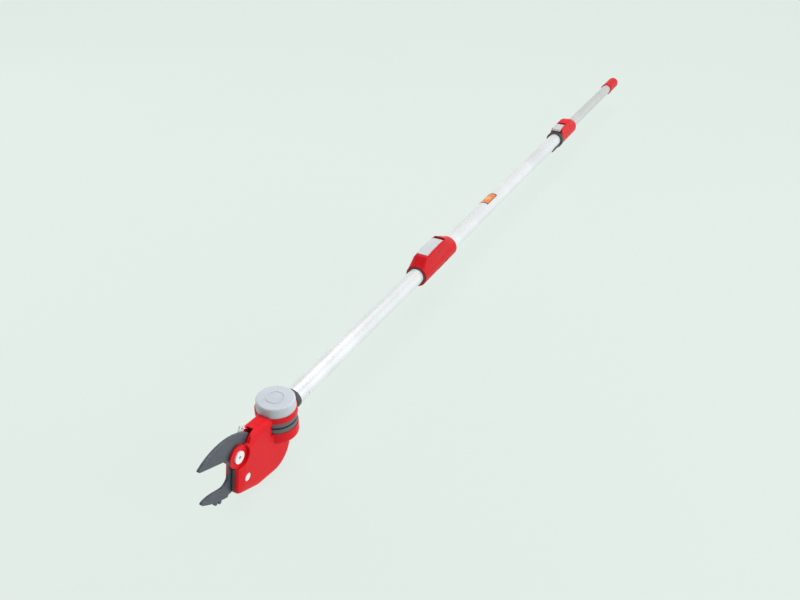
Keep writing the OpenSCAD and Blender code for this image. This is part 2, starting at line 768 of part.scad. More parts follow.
module housing() {
    ear_step = 1.5;
    window_z = 5;
    difference() {
        housing_form();
        eye_room();
        translate([0, 0, disc_top]) cylinder(h = drum_d, r = knob_d / 2 + cut);
        translate([0, 0, drum_low]) cylinder(h = drum_d, r = stud_d / 2 + run_gap);
        translate([0, 0, drum_low - cut])
            cylinder(h = swivel_nut_t + 0.5 + cut, d = (swivel_nut_w + 2 * seat_gap) / cos(30), $fn = 6);
        plate_y(-hollow_t, hollow_t) hollow_outline();
        translate([0, cord_y - cord_d, eye_mid - window_z / 2])
            cube([head_roller_x, 2 * (hollow_t + cord_d), window_z]);
        for (side = [-1, 1])
            rod_y(pivot_x, pivot_z, side > 0 ? ear_face() : -drum_d, side > 0 ? drum_d : -ear_face(),
                ear_r + ear_step);
        rod_y(pivot_x, pivot_z, -drum_d, drum_d, pivot_d / 2 + seat_gap);
        rod_y(hook_bolt_x, hook_bolt_z, -drum_d, drum_d, hook_bolt_d / 2 + seat_gap);
        rod_y(hook_bolt_x, hook_bolt_z, hook_head_y, drum_d, hook_head_r + free_gap);
        hex_y(hook_bolt_x, hook_bolt_z, -drum_d, -hook_seat_y, hook_nut_w + 2 * seat_gap);
        for (p = [[peg_x, peg_z], [anchor_x, anchor_z], [head_roller_x, head_roller_z]])
            rod_y(p[0], p[1], -hollow_t - pin_end - seat_gap, hollow_t + pin_end + seat_gap, pin_r + seat_gap);
        for (p = shell_screw_places) {
            rod_y(p[0], p[1], -drum_d, shell_edge, shell_screw_r + seat_gap);
            rod_y(p[0], p[1], -drum_d, -shell_edge, shell_screw_head_r + seat_gap);
        }
    }
}

// Spacer boss that holds the +Y shell off the hook blade at its bolt
module hook_spacer() {
    spacer_r = 5.5;
    difference() {
        rod_y(hook_bolt_x, hook_bolt_z, blade_face, hollow_t + cut, spacer_r);
        rod_y(hook_bolt_x, hook_bolt_z, 0, drum_d, hook_bolt_d / 2 + seat_gap);
    }
}

module left_shell() {
    color("crimson") at_head() {
        intersection() {
            housing();
            translate([-drum_d, 0, -2 * drum_d]) cube([4 * drum_d, drum_d, 4 * drum_d]);
        }
        hook_spacer();
    }
}

module right_shell() {
    color("crimson") at_head() intersection() {
        housing();
        translate([-drum_d, -drum_d, -2 * drum_d]) cube([4 * drum_d, drum_d, 4 * drum_d]);
    }
}

module shell_screws() {
    head_t = 2.5;
    color("silver") at_head() for (p = shell_screw_places) {
        rod_y(p[0], p[1], -shell_edge - head_t, -shell_edge, shell_screw_head_r);
        rod_y(p[0], p[1], -shell_edge, shell_edge - cut, shell_screw_r);
    }
}

// Blades, drawn from their pivot in X and Z

module blade_outline() {
    tip = [64, 30];
    edge_tip = [63, 26];
    heel = [17, 6];
    polygon(concat(
        curve([-27, 17], [-6, 37], [32, 46], tip),
        curve(tip, tip + [2.5, -1.2], edge_tip + [2, 0.5], edge_tip, 4),
        curve(edge_tip, [48, 19], [32, 13], heel, 8),
        [heel, [6, -8], [-8, -2]]
    ));
}

// Arm from the hub down to the tail pulley
module blade_arm_outline() {
    arm = [arm_x - pivot_x, arm_z - pivot_z];
    side = [-arm[1], arm[0]] / norm(arm);
    hub_half_w = 10;
    end_half_w = 6;
    polygon([hub_half_w * side, arm + end_half_w * side, arm - end_half_w * side, -hub_half_w * side]);
}

module cutting_blade() {
    back = blade_face + blade_t;
    color("dimgray") at_head() difference() {
        union() {
            plate_y(blade_face, back) translate([pivot_x, pivot_z]) blade_outline();
            plate_y(blade_face, back) translate([pivot_x, pivot_z]) blade_arm_outline();
            rod_y(pivot_x, pivot_z, blade_face, back, hub_r);
            rod_y(arm_x, arm_z, blade_face, back, pulley_r);
        }
        rod_y(pivot_x, pivot_z, -drum_d, drum_d, bush_r() + seat_gap);
        rod_y(arm_x, arm_z, -drum_d, drum_d, pulley_pin_r + seat_gap);
    }
}

function bush_r() = pivot_d / 2 + 2;
pulley_pin_r = 2.5;

module pivot_bush() {
    color("goldenrod") at_head() difference() {
        rod_y(pivot_x, pivot_z, blade_face, blade_face + blade_t, bush_r());
        rod_y(pivot_x, pivot_z, -drum_d, drum_d, pivot_d / 2 + run_gap);
    }
}

// Hook: throat and jaw, round tip, back with two small teeth and a step, and the tang inside
module hook_outline() {
    jaw_root = [25, -34];
    jaw_end = [60, -25.5];
    back_tip = [62, -31.5];
    polygon(concat(
        curve([14, 4], [7, -14], [10, -32], jaw_root),
        curve(jaw_root, [34, -33.5], [44, -26], jaw_end),
        curve(jaw_end, [66, -25.5], [66.5, -28.5], back_tip, 5),
        curve(back_tip, [54, -37.5], [44, -46], [20, -55.4]),
        [[20, -55.4], [18, -53], [13, -53.5], [6, -52.5], [-8, -49], [-16, -44], [-16, -38], [-12.5, -32],
            [-12, -20], [-10, 4], [2, 9]]
    ));
}

hook_teeth = [[41, -47.6, 2.8], [34, -51.6, 2.6]];

module hook_blade() {
    color("dimgray") at_head() difference() {
        union() {
            plate_y(-blade_face - blade_t, -blade_face) translate([pivot_x, pivot_z]) hook_outline();
            rod_y(pivot_x, pivot_z, -blade_face - blade_t, -blade_face, hub_r);
            for (tooth = hook_teeth)
                rod_y(pivot_x + tooth[0], pivot_z + tooth[1], -blade_face - blade_t, -blade_face, tooth[2]);
        }
        rod_y(pivot_x, pivot_z, -drum_d, drum_d, pivot_d / 2 + seat_gap);
        rod_y(hook_bolt_x, hook_bolt_z, -drum_d, drum_d, hook_bolt_d / 2 + seat_gap);
    }
}

module pivot_bolt() {
    socket_w = 4;
    color("silver") at_head() difference() {
        union() {
            rod_y(pivot_x, pivot_z, -ear_face() - nut_t, ear_face(), pivot_d / 2);
            rod_y(pivot_x, pivot_z, ear_face(), ear_face() + pivot_head_t, pivot_head_r);
        }
        hex_y(pivot_x, pivot_z, ear_face(), ear_face() + pivot_head_t + cut, socket_w);
    }
}

module pivot_nut() {
    color("silver") at_head() difference() {
        hex_y(pivot_x, pivot_z, -ear_face() - nut_t, -ear_face(), pivot_nut_w);
        rod_y(pivot_x, pivot_z, -drum_d, drum_d, pivot_d / 2 + seat_gap);
    }
}

module hook_bolt() {
    color("silver") at_head() {
        rod_y(hook_bolt_x, hook_bolt_z, -shell_t, hook_head_y, hook_bolt_d / 2);
        rod_y(hook_bolt_x, hook_bolt_z, hook_head_y, hook_head_y + hook_head_t, hook_head_r);
    }
}

module hook_nut() {
    color("silver") at_head() difference() {
        hex_y(hook_bolt_x, hook_bolt_z, -hook_seat_y - nut_t, -hook_seat_y, hook_nut_w);
        rod_y(hook_bolt_x, hook_bolt_z, -drum_d, drum_d, hook_bolt_d / 2 + seat_gap);
    }
}

// Steel lug on the back of the blade's tail, with the eye that the return spring hooks into
lug_t = 2.5;
lug_eye_r = 1.8;
module spring_lug() {
    eye_ring_r = 5;
    foot = [6, -8];
    color("silver") at_head() difference() {
        plate_y(blade_face - lug_t, blade_face) hull() {
            translate([lug_x, lug_z]) circle(r = eye_ring_r);
            translate([lug_x, lug_z] + foot) circle(r = eye_ring_r - 1);
        }
        rod_y(lug_x, lug_z, -drum_d, drum_d, lug_eye_r);
    }
}

module pulley_pin() {
    color("silver") at_head()
        rod_y(arm_x, arm_z, -hollow_t + free_gap, blade_face + blade_t, pulley_pin_r);
}

pulley_t = 3.8;
pulley_groove_r = pulley_r - 1.5;
pulley_y = -hollow_t + free_gap + 0.1 + pulley_t / 2;
module tail_pulley() {
    color("ivory") at_head() translate([arm_x, pulley_y, arm_z]) rotate([90, 0, 0])
        roller(pulley_r, pulley_groove_r, pulley_pin_r + run_gap, pulley_t);
}

// Pins across the hollow, each held in blind holes of both shells
module cross_pin(x, z) {
    color("silver") at_head() rod_y(x, z, -hollow_t - pin_end, hollow_t + pin_end, pin_r);
}

module spring_peg() {
    cross_pin(peg_x, peg_z);
}

module cord_anchor_pin() {
    cross_pin(anchor_x, anchor_z);
}

module head_roller_pin() {
    cross_pin(head_roller_x, head_roller_z);
}

module head_roller() {
    color("ivory") at_head() translate([head_roller_x, pulley_y, head_roller_z]) rotate([90, 0, 0])
        roller(head_roller_r, roller_groove_r, pin_r + run_gap, pulley_t);
}

// Return spring: a coil on the line from the peg to the lug's eye, with straight hook wires
spring_axis = [lug_x - peg_x, 0, lug_z - peg_z];
spring_reach = norm(spring_axis);
spring_dir = spring_axis / spring_reach;
spring_side = [spring_dir[2], 0, -spring_dir[0]];
spring_y = blade_face - lug_t / 2;
spring_from = 5.5;
spring_coil_r = (spring_d - spring_wire) / 2;
spring_pitch = spring_wire + 0.6;
spring_rings = 8;
spring_sides = 6;
spring_hook_gap = pin_r + spring_wire;
function spring_point(k) =
    let (turn = k / spring_rings, a = 360 * turn)
    [peg_x, spring_y, peg_z] + (spring_from + turn * spring_pitch) * spring_dir
        + spring_coil_r * (sin(a) * [0, 1, 0] + cos(a) * spring_side);
spring_last = spring_turns * spring_rings;
spring_path = concat(
    [spring_point(0) - (spring_from - spring_hook_gap) * spring_dir],
    [for (k = [0 : spring_last]) spring_point(k)],
    [spring_point(spring_last) + (spring_reach - spring_from - spring_turns * spring_pitch - 3 * lug_eye_r)
        * spring_dir]
);

// Tube of flat-sided rings square to a path, closed at both ends; each ring's first corner is
// the one before it, turned as little as the path allows
function unit(v) = v / norm(v);
function square_to(a, t) = unit(a - (a * t) * t);
module wire_tube(path, r, sides, first) {
    n = len(path);
    dirs = [for (i = [0 : n - 1]) unit(path[min(i + 1, n - 1)] - path[max(i - 1, 0)])];
    corners = [
        for (i = 0, a = square_to(first, dirs[0]); i < n; i = i + 1, a = i < n ? square_to(a, dirs[i]) : a) a
    ];
    rings = [
        for (i = [0 : n - 1], s = [0 : sides - 1])
            path[i] + r * (cos(360 * s / sides) * corners[i] + sin(360 * s / sides) * cross(dirs[i], corners[i]))
    ];
    walls = [
        for (i = [0 : n - 2], s = [0 : sides - 1])
            let (p = i * sides + s, q = i * sides + (s + 1) % sides)
            each [[p, p + sides, q], [q, p + sides, q + sides]]
    ];
    ends = [[for (s = [0 : sides - 1]) s], [for (s = [sides - 1 : -1 : 0]) (n - 1) * sides + s]];
    polyhedron(points = rings, faces = concat(walls, ends));
}

// Least gap of the spring's wire to itself, between points at least half a turn apart
spring_least_gap = min([
    for (i = [0 : spring_last], j = [i + spring_rings / 2 : 1 : spring_last])
        norm(spring_point(i) - spring_point(j))
]) - spring_wire;

module return_spring() {
    echo(spring_least_gap = spring_least_gap);
    color("silver") at_head() wire_tube(spring_path, spring_wire / 2, spring_sides, spring_side);
}

// Pull cord, in straight runs

cord_r = cord_d / 2;
cord_upper_low = upper_start_x + 8;
cord_lower_y = 4;
cord_lower_z = 3;
cord_lower_high = upper_start_x + 18;

module pull_cord_upper() {
    color("darkslategray") rod_between([cord_upper_low, cord_y, eye_mid], [swivel_x, cord_y, eye_mid], cord_r);
}

// From the swivel roller over the head roller, round the tail pulley and back to the anchor pin
module pull_cord_head() {
    wrap_r = pulley_groove_r + cord_r + tube_gap;
    guide_r = roller_groove_r + cord_r + tube_gap;
    pulley = [arm_x, pulley_y, arm_z];
    down = pulley - [head_roller_x, pulley_y, head_roller_z];
    out = [-down[2], 0, down[0]] / norm(down);
    back = pulley - [anchor_x, pulley_y, anchor_z];
    under = [back[2], 0, -back[0]] / norm(back);
    over_turn = acos(out[2]);
    wrap_from = atan2(out[2], out[0]);
    wrap_turn = wrap_from - atan2(under[2], under[0]);
    bend_steps = 4;
    wrap_steps = 14;
    path = concat(
        [[free_gap, cord_y, eye_mid]],
        [for (i = [0 : bend_steps]) let (a = over_turn * i / bend_steps)
            [head_roller_x, pulley_y, head_roller_z] + guide_r * [sin(a), 0, cos(a)]],
        [for (i = [0 : wrap_steps]) let (a = wrap_from - wrap_turn * i / wrap_steps)
            pulley + wrap_r * [cos(a), 0, sin(a)]],
        [[anchor_x, pulley_y, anchor_z] + (pin_r + cord_r + tube_gap) * under]
    );
    color("darkslategray") at_head() wire_tube(path, cord_r, 10, [0, 1, 0]);
}

module pull_cord_lower() {
    color("darkslategray") rod_between([ferrule_to(), cord_lower_y, cord_lower_z],
        [cord_lower_high, cord_lower_y, cord_lower_z], cord_r);
}

// Pull knob

stem_from = 20;
function ferrule_to() = stem_from - 1;
ferrule_from = 12;
ferrule_r = 3.5;
stem_r = lower_bore_d / 2 - tube_gap;

module pull_knob() {
    color("crimson") difference() {
        rotate([0, 90, 0]) rotate_extrude() {
            square([pull_d / 2 - pull_round, pull_len - pull_rim]);
            translate([0, pull_round]) square([pull_d / 2, pull_len - pull_rim - pull_round]);
            translate([pull_d / 2 - pull_round, pull_round]) intersection() {
                circle(r = pull_round);
                translate([0, -pull_round]) square(pull_round);
            }
        }
        rod_x(pull_end - 1, pull_len + cut, lower_tube_d + 2 * tube_gap);
        rod_x(stem_from, pull_len, 2 * (stem_r + seat_gap));
        translate([ferrule_from, cord_lower_y, cord_lower_z]) rotate([0, 90, 0])
            cylinder(h = stem_from - ferrule_from + cut, r = ferrule_r + seat_gap);
    }
}

module pull_rim_ring() {
    proud = 0.6;
    color("dimgray") tube_x(pull_len - pull_rim, pull_len, pull_d + 2 * proud, lower_tube_d + 2 * tube_gap);
}

module pull_stem() {
    color("ivory") difference() {
        rod_x(stem_from, stem_from + stem_len, 2 * stem_r);
        translate([0, cord_lower_y, cord_lower_z]) rod_x(stem_from - cut, stem_from + stem_len + cut,
            cord_d + 2 * tube_gap);
    }
}

module cord_ferrule() {
    color("silver") translate([0, cord_lower_y, cord_lower_z]) rod_x(ferrule_from, ferrule_to(), 2 * ferrule_r);
}

middle_tube();
upper_clamp_body();
upper_clamp_bush();
upper_clamp_shoe();
upper_lever_pin();
upper_shoe_pin();
upper_clamp_screws();
lower_clamp_body();
lower_clamp_collar();
lower_clamp_bush();
lower_clamp_shoe();
lower_lever_pin();
lower_shoe_pin();
lower_clamp_screws();
upper_clamp_lever();
lower_clamp_lever();
upper_tube();
upper_tube_bush();
swivel_eye();
socket_rivets();
pull_cord_upper();
guide_roller();
left_shell();
right_shell();
hook_blade();
pivot_bolt();
pivot_nut();
hook_bolt();
hook_nut();
shell_screws();
spring_peg();
return_spring();
cord_anchor_pin();
pull_cord_head();
swivel_nut();
head_roller_pin();
head_roller();
swivel_knob();
knob_stud();
cutting_blade();
pivot_bush();
spring_lug();
pulley_pin();
tail_pulley();
lower_tube();
lower_tube_bush();
pull_knob();
pull_rim_ring();
pull_stem();
pull_cord_lower();
cord_ferrule();
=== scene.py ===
import math

import bpy
import numpy as np
from bpy.props import FloatProperty, FloatVectorProperty, IntProperty, PointerProperty
from mathutils import Matrix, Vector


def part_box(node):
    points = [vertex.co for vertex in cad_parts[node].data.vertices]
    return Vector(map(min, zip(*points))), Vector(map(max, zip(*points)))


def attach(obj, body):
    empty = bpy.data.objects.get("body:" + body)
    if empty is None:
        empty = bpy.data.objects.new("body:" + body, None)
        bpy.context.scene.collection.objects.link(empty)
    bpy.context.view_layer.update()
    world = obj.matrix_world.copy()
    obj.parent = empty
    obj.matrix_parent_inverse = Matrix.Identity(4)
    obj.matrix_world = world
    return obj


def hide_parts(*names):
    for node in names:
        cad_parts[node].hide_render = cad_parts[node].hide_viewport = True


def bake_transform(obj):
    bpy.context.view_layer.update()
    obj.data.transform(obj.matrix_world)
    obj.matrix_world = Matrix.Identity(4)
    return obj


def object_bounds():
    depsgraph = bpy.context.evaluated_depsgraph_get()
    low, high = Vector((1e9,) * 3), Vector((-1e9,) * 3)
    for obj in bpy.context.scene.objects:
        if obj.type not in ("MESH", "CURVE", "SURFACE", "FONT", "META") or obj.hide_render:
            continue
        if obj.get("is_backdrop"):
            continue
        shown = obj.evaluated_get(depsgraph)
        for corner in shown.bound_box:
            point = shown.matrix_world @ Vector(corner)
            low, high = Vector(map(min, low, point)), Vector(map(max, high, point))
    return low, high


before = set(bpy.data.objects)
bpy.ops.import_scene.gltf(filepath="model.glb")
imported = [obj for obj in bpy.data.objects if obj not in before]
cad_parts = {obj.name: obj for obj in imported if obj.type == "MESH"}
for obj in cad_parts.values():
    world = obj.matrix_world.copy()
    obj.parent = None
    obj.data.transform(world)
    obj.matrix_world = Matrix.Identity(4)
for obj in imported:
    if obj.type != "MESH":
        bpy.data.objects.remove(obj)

bl_info = {
    "name": "Tree pruner pole",
    "version": (1, 0, 0),
    "blender": (4, 5, 0),
    "location": "View3D > Sidebar > Pruner",
    "description": "Looks of a telescopic tree pruner pole on its packed frame",
    "category": "Object",
}

MM = 0.001

# Places of the swivel axis and of the head's points, in millimetres; head points are measured from the swivel axis
SWIVEL = np.array([1783.0, 0.0, 0.0])
SPRING_PEG = np.array([34.0, -1.1, 0.5])
SPRING_LUG = np.array([70.5, -1.1, 29.0])
HEAD_ROLLER = np.array([37.0, -2.6, -10.35])
TAIL_PULLEY = np.array([68.0, -2.6, -31.0])
CORD_ANCHOR = np.array([36.0, -2.6, -24.0])
CORD_ENTRY = np.array([0.4, -6.55, -3.8])
PAD_TOP = np.array([96.5, 2.42, -17.3])
PAD_CORNER = np.array([96.0, 2.42, -48.0])
X_WAY, Y_WAY, Z_WAY = np.eye(3)

# Spring, in millimetres: way from the peg to the first turn, radius of the loop on the peg and of the ring in the lug
SPRING_LEAD, SPRING_LOOP, SPRING_RING = 5.5, 2.6, 3.1

# Radii under the cord on the head roller, the tail pulley and the anchor pin, in millimetres
GUIDE_GROOVE, PULLEY_GROOVE, ANCHOR_RADIUS = 5.3, 5.8, 2.3

# The hook's pad: radius of its corner in millimetres with its first and last angle in degrees; half its depth in
# millimetres, its width as a multiple of its depth, and the power that squares its section
PAD_ROUND, PAD_FROM, PAD_TO = 6.4, 11.9, -50
PAD_HALF, PAD_WIDE, PAD_POWER = 1.2, 2.0, 0.4

# Sides of the wire's, the cord's and the pad's sections
WIRE_SIDES, CORD_SIDES, PAD_SIDES = 12, 14, 32

# Label: angle of its middle round the tube, and its thickness in millimetres
LABEL_MIDDLE = math.radians(100)
LABEL_THICK = 0.06

# Swivel eye, painted shade on its collar: place along the pole before which its colour is darkened, width of the
# change there in metres, and how dark the painted shade makes it
EYE_SHADE_LIMIT = 1.757
EYE_SHADE_FADE = 0.004
EYE_SHADE_GAIN = 0.40

# Rounded edges of the CAD nodes: distance under which points are welded in metres, least angle and number of steps
WELD_REACH = 0.000005
EDGE_ANGLE = math.radians(35)
EDGE_STEPS = 2

# Floor: half its width in millimetres, its drop below the object in metres, its glow and the spread of its tone
FLOOR_REACH = 60000.0
FLOOR_DROP = 0.004
FLOOR_GLOW = 0.925
FLOOR_SPREAD = 0.008

# Surround: heights between which it turns from the floor's tone to the sky's, places on X between which it darkens
# towards the head's end, and how dark it gets there
SKY_FROM, SKY_TO = 0.12, 0.5
SHADE_FROM, SHADE_TO, SHADE = 0.1, 0.7, 0.7

# Lights: name, place, aim and size in metres, and power as a share of the key light's
LIGHTS = (("Key", (0.9, 0.1, 2.6), (1.4, 0.0, 0.0), 2.0, 1.0),
          ("Near fill", (1.3, 2.0, 0.8), (1.85, 0.0, 0.0), 1.0, 0.41),
          ("Far fill", (1.5, -2.2, 0.9), (1.6, 0.0, 0.0), 1.4, 0.24))

# Camera: its place in metres, the way back to it from what it sees, the way up, its sensor's width in millimetres
# and its far limit in metres
CAMERA_PLACE = (2.412, 0.496, 0.675)
CAMERA_BACK = (0.757, 0.381, 0.531)
CAMERA_UP = (-0.462, -0.262, 0.847)
SENSOR = 36.0
FAR_LIMIT = 300.0

# Tints that aren't settings, as linear values
WHITE = (0.80, 0.79, 0.74)
RUBBER = (0.020, 0.020, 0.021)
BRASS = (0.72, 0.48, 0.18)
CORD = (0.09, 0.10, 0.11)
RUBBED_STEEL = (0.45, 0.46, 0.48)
LABEL_RIM = (0.30, 0.02, 0.015)
LABEL_GLOW = (0.87, 0.43, 0.12)
SKY = (0.93, 0.96, 0.95)
FLOOR_BASE = (0.03, 0.03, 0.03)
BLACK = (0.0, 0.0, 0.0)

# CAD nodes by finish
RED_NODES = ("left_shell", "right_shell", "lower_clamp_body", "pull_knob", "pull_rim_ring")
DEEP_RED_NODES = ("upper_clamp_body",)
DARK_NODES = ("upper_clamp_bush", "lower_clamp_bush", "lower_clamp_collar", "upper_tube_bush",
              "lower_tube_bush")
EYE_NODES = ("swivel_eye",)
LEVER_NODES = ("upper_clamp_lever", "lower_clamp_lever")
KNOB_NODES = ("swivel_knob",)
NYLON_NODES = ("guide_roller", "head_roller", "tail_pulley", "pull_stem")
RUBBER_NODES = ("upper_clamp_shoe", "lower_clamp_shoe")
TUBE_NODES = ("middle_tube", "upper_tube")
DULL_TUBE_NODES = ("lower_tube",)
BLADE_NODES = ("cutting_blade", "hook_blade")
BRASS_NODES = ("pivot_bush", "cord_ferrule")
STEEL_NODES = ("upper_lever_pin", "upper_shoe_pin", "upper_clamp_screws", "lower_lever_pin", "lower_shoe_pin",
               "lower_clamp_screws", "socket_rivets", "pivot_bolt", "pivot_nut", "hook_bolt", "hook_nut",
               "shell_screws", "spring_peg", "cord_anchor_pin", "swivel_nut", "head_roller_pin", "knob_stud",
               "spring_lug", "pulley_pin")


class PrunerColours(bpy.types.PropertyGroup):
    """Colours of the finishes, as linear values."""

    red: FloatVectorProperty(name="Red plastic", description="Colour of the housing, lower clamp and pull knob",
                             subtype="COLOR", size=3, min=0, max=1, default=(0.68, 0.009, 0.016))
    deep_red: FloatVectorProperty(name="Deep red plastic", description="Colour of the upper clamp",
                                  subtype="COLOR", size=3, min=0, max=1, default=(0.56, 0.008, 0.014))
    dark: FloatVectorProperty(name="Dark plastic", description="Colour of the collar and bushes",
                              subtype="COLOR", size=3, min=0, max=1, default=(0.045, 0.047, 0.050))
    eye: FloatVectorProperty(name="Eye plastic", description="Colour of the swivel eye between the drum's discs",
                             subtype="COLOR", size=3, min=0, max=1, default=(0.105, 0.115, 0.122))
    lever: FloatVectorProperty(name="Lever plastic", description="Colour of the two clamp levers",
                               subtype="COLOR", size=3, min=0, max=1, default=(0.52, 0.53, 0.545))
    knob: FloatVectorProperty(name="Knob plastic", description="Colour of the swivel knob",
                              subtype="COLOR", size=3, min=0, max=1, default=(0.51, 0.545, 0.59))
    tube: FloatVectorProperty(name="Tube metal", description="Tint of the upper and middle tubes",
                              subtype="COLOR", size=3, min=0, max=1, default=(0.74, 0.75, 0.765))
    dull_tube: FloatVectorProperty(name="Dull tube metal", description="Tint of the lower tube",
                                   subtype="COLOR", size=3, min=0, max=1, default=(0.63, 0.635, 0.645))
    blade: FloatVectorProperty(name="Blade coating", description="Colour of the coated blades",
                               subtype="COLOR", size=3, min=0, max=1, default=(0.079, 0.088, 0.110))
    steel: FloatVectorProperty(name="Steel", description="Tint of the bolts, pins and spring",
                               subtype="COLOR", size=3, min=0, max=1, default=(0.90, 0.905, 0.915))
    label: FloatVectorProperty(name="Label", description="Colour of the bare label on the middle tube",
                               subtype="COLOR", size=3, min=0, max=1, default=(0.66, 0.21, 0.065))


class PrunerSizes(bpy.types.PropertyGroup):
    """Sizes of the pieces that are made here, and of the rounded edges."""

    edge: FloatProperty(name="Edge round", description="Round on the edges of moulded pieces",
                        subtype="DISTANCE", unit="LENGTH", min=0, default=0.0007)
    steel_edge: FloatProperty(name="Steel edge round", description="Round on the edges of metal pieces",
                              subtype="DISTANCE", unit="LENGTH", min=0, default=0.0003)
    spring_wire: FloatProperty(name="Spring wire", description="Diameter of the return spring's wire",
                               subtype="DISTANCE", unit="LENGTH", min=0, default=0.0011)
    spring_coil: FloatProperty(name="Spring coil", description="Radius of the return spring's coil at the wire",
                               subtype="DISTANCE", unit="LENGTH", min=0, default=0.00245)
    spring_turns: IntProperty(name="Spring turns", description="Number of turns of the return spring",
                              min=1, default=8)
    spring_pitch: FloatProperty(name="Spring pitch", description="Advance of one turn of the return spring",
                                subtype="DISTANCE", unit="LENGTH", min=0, default=0.0017)
    cord: FloatProperty(name="Cord", description="Diameter of the pull cord",
                        subtype="DISTANCE", unit="LENGTH", min=0, default=0.0025)
    label_from: FloatProperty(name="Label start", description="Start of the label along the pole",
                              subtype="DISTANCE", unit="LENGTH", default=1.003)
    label_to: FloatProperty(name="Label end", description="End of the label along the pole",
                            subtype="DISTANCE", unit="LENGTH", default=1.057)
    label_turn: FloatProperty(name="Label width", description="Turn of the label round the tube",
                              subtype="ANGLE", unit="ROTATION", min=0, default=math.radians(80))


class PrunerStage(bpy.types.PropertyGroup):
    """Floor, light and camera."""

    floor: FloatVectorProperty(name="Floor", description="Colour of the plain floor",
                               subtype="COLOR", size=3, min=0, max=1, default=(0.76, 0.847, 0.799))
    sky: FloatProperty(name="Surround light", description="Strength of the light from all sides",
                       min=0, default=0.40)
    key: FloatProperty(name="Key light", description="Power of the large soft light overhead",
                       unit="POWER", min=0, default=58.0)
    lens: FloatProperty(name="Lens", description="Focal length of the camera on a 36 mm sensor",
                        unit="CAMERA", min=1, default=34.56)


# Mesh helpers


def unit(v):
    """Rows of v divided by their own lengths."""
    return v / np.linalg.norm(v, axis=-1, keepdims=True)


def bezier(a, b, c, d, n):
    """Cubic curve: (1-t)^3 a + 3(1-t)^2 t b + 3(1-t) t^2 c + t^3 d at n even steps of t."""
    t = np.linspace(0, 1, n)[:, None]
    return (1 - t) ** 3 * a + 3 * (1 - t) ** 2 * t * b + 3 * (1 - t) * t ** 2 * c + t ** 3 * d


def arc(centre, u, v, r, start, end, n):
    """Circle arc: centre + r (cos a u + sin a v) at n even steps of the angle a, given in degrees."""
    a = np.radians(np.linspace(start, end, n))[:, None]
    return centre + r * (np.cos(a) * u + np.sin(a) * v)


def along(a, b, n):
    """Straight run from a to b in n even steps."""
    return a + np.linspace(0, 1, n)[:, None] * (b - a)


def joined(*runs):
    """Runs put end to end, each but the first without its first point."""
    return np.concatenate([runs[0]] + [r[1:] for r in runs[1:]])


def mesh_object(name, points, faces, smooth, uv, material):
    """Object with these points in millimetres, faces and corner coordinates, placed by its own mesh."""
    mesh = bpy.data.meshes.new(name)
    mesh.from_pydata((points * MM).tolist(), [], faces)
    mesh.polygons.foreach_set("use_smooth", smooth)
    mesh.uv_layers.new(name="UVMap").data.foreach_set("uv", np.asarray(uv, np.float32).ravel())
    mesh.materials.append(material)
    mesh.validate()
    obj = bpy.data.objects.new(name, mesh)
    bpy.context.scene.collection.objects.link(obj)
    return obj


def placed(name, data, place, back, up_hint):
    """Object with this data at a place, turned so that its own Z is the way back and its own Y is near the hint."""
    back = unit(np.array(back))
    right = unit(np.cross(up_hint, back))
    up = np.cross(back, right)
    holder = bpy.data.objects.new(name, data)
    holder.matrix_world = Matrix([[right[k], up[k], back[k], place[k]] for k in range(3)] + [[0, 0, 0, 1]])
    bpy.context.scene.collection.objects.link(holder)
    return holder


def swept_rod(name, path, radius, hint, sides, material, flat=1.0, power=1.0):
    """Rod along a path: a ring of points r (c s + flat d t x s) at each path point, where t is the path's
    direction, s is the hint vector made square to t, and c and d are cos b and sin b raised to a power with
    their signs kept, which squares the ring where the power is under 1; the rings join in quads, with flat end
    caps. The corner coordinates run once round the rod, and along it in rod widths."""
    n = len(path)
    t = unit(np.gradient(path, axis=0))
    s = unit(hint - (t @ hint)[:, None] * t)
    b = np.arange(sides) * 2 * np.pi / sides
    c, d = (np.sign(w) * np.abs(w) ** power for w in (np.cos(b), np.sin(b)))
    rings = c[None, :, None] * s[:, None] + flat * d[None, :, None] * np.cross(t, s)[:, None]
    points = (path[:, None] + radius * rings).reshape(-1, 3)
    i, j = np.meshgrid(np.arange(n - 1), np.arange(sides), indexing="ij")
    k = (j + 1) % sides
    quads = np.stack([i * sides + j, i * sides + k, (i + 1) * sides + k, (i + 1) * sides + j], -1).reshape(-1, 4)
    caps = [list(range(sides))[::-1], list(range((n - 1) * sides, n * sides))]
    run = np.concatenate([[0], np.cumsum(np.linalg.norm(np.diff(path, axis=0), axis=1))]) / (2 * radius)
    uv = np.stack([np.stack([j, j + 1, j + 1, j], -1) / sides,
                   np.stack([run[i], run[i], run[i + 1], run[i + 1]], -1)], -1).reshape(-1, 2)
    uv = np.concatenate([uv, np.zeros((2 * sides, 2))])
    return mesh_object(name, points, quads.tolist() + caps, [True] * len(quads) + [False] * 2, uv, material)


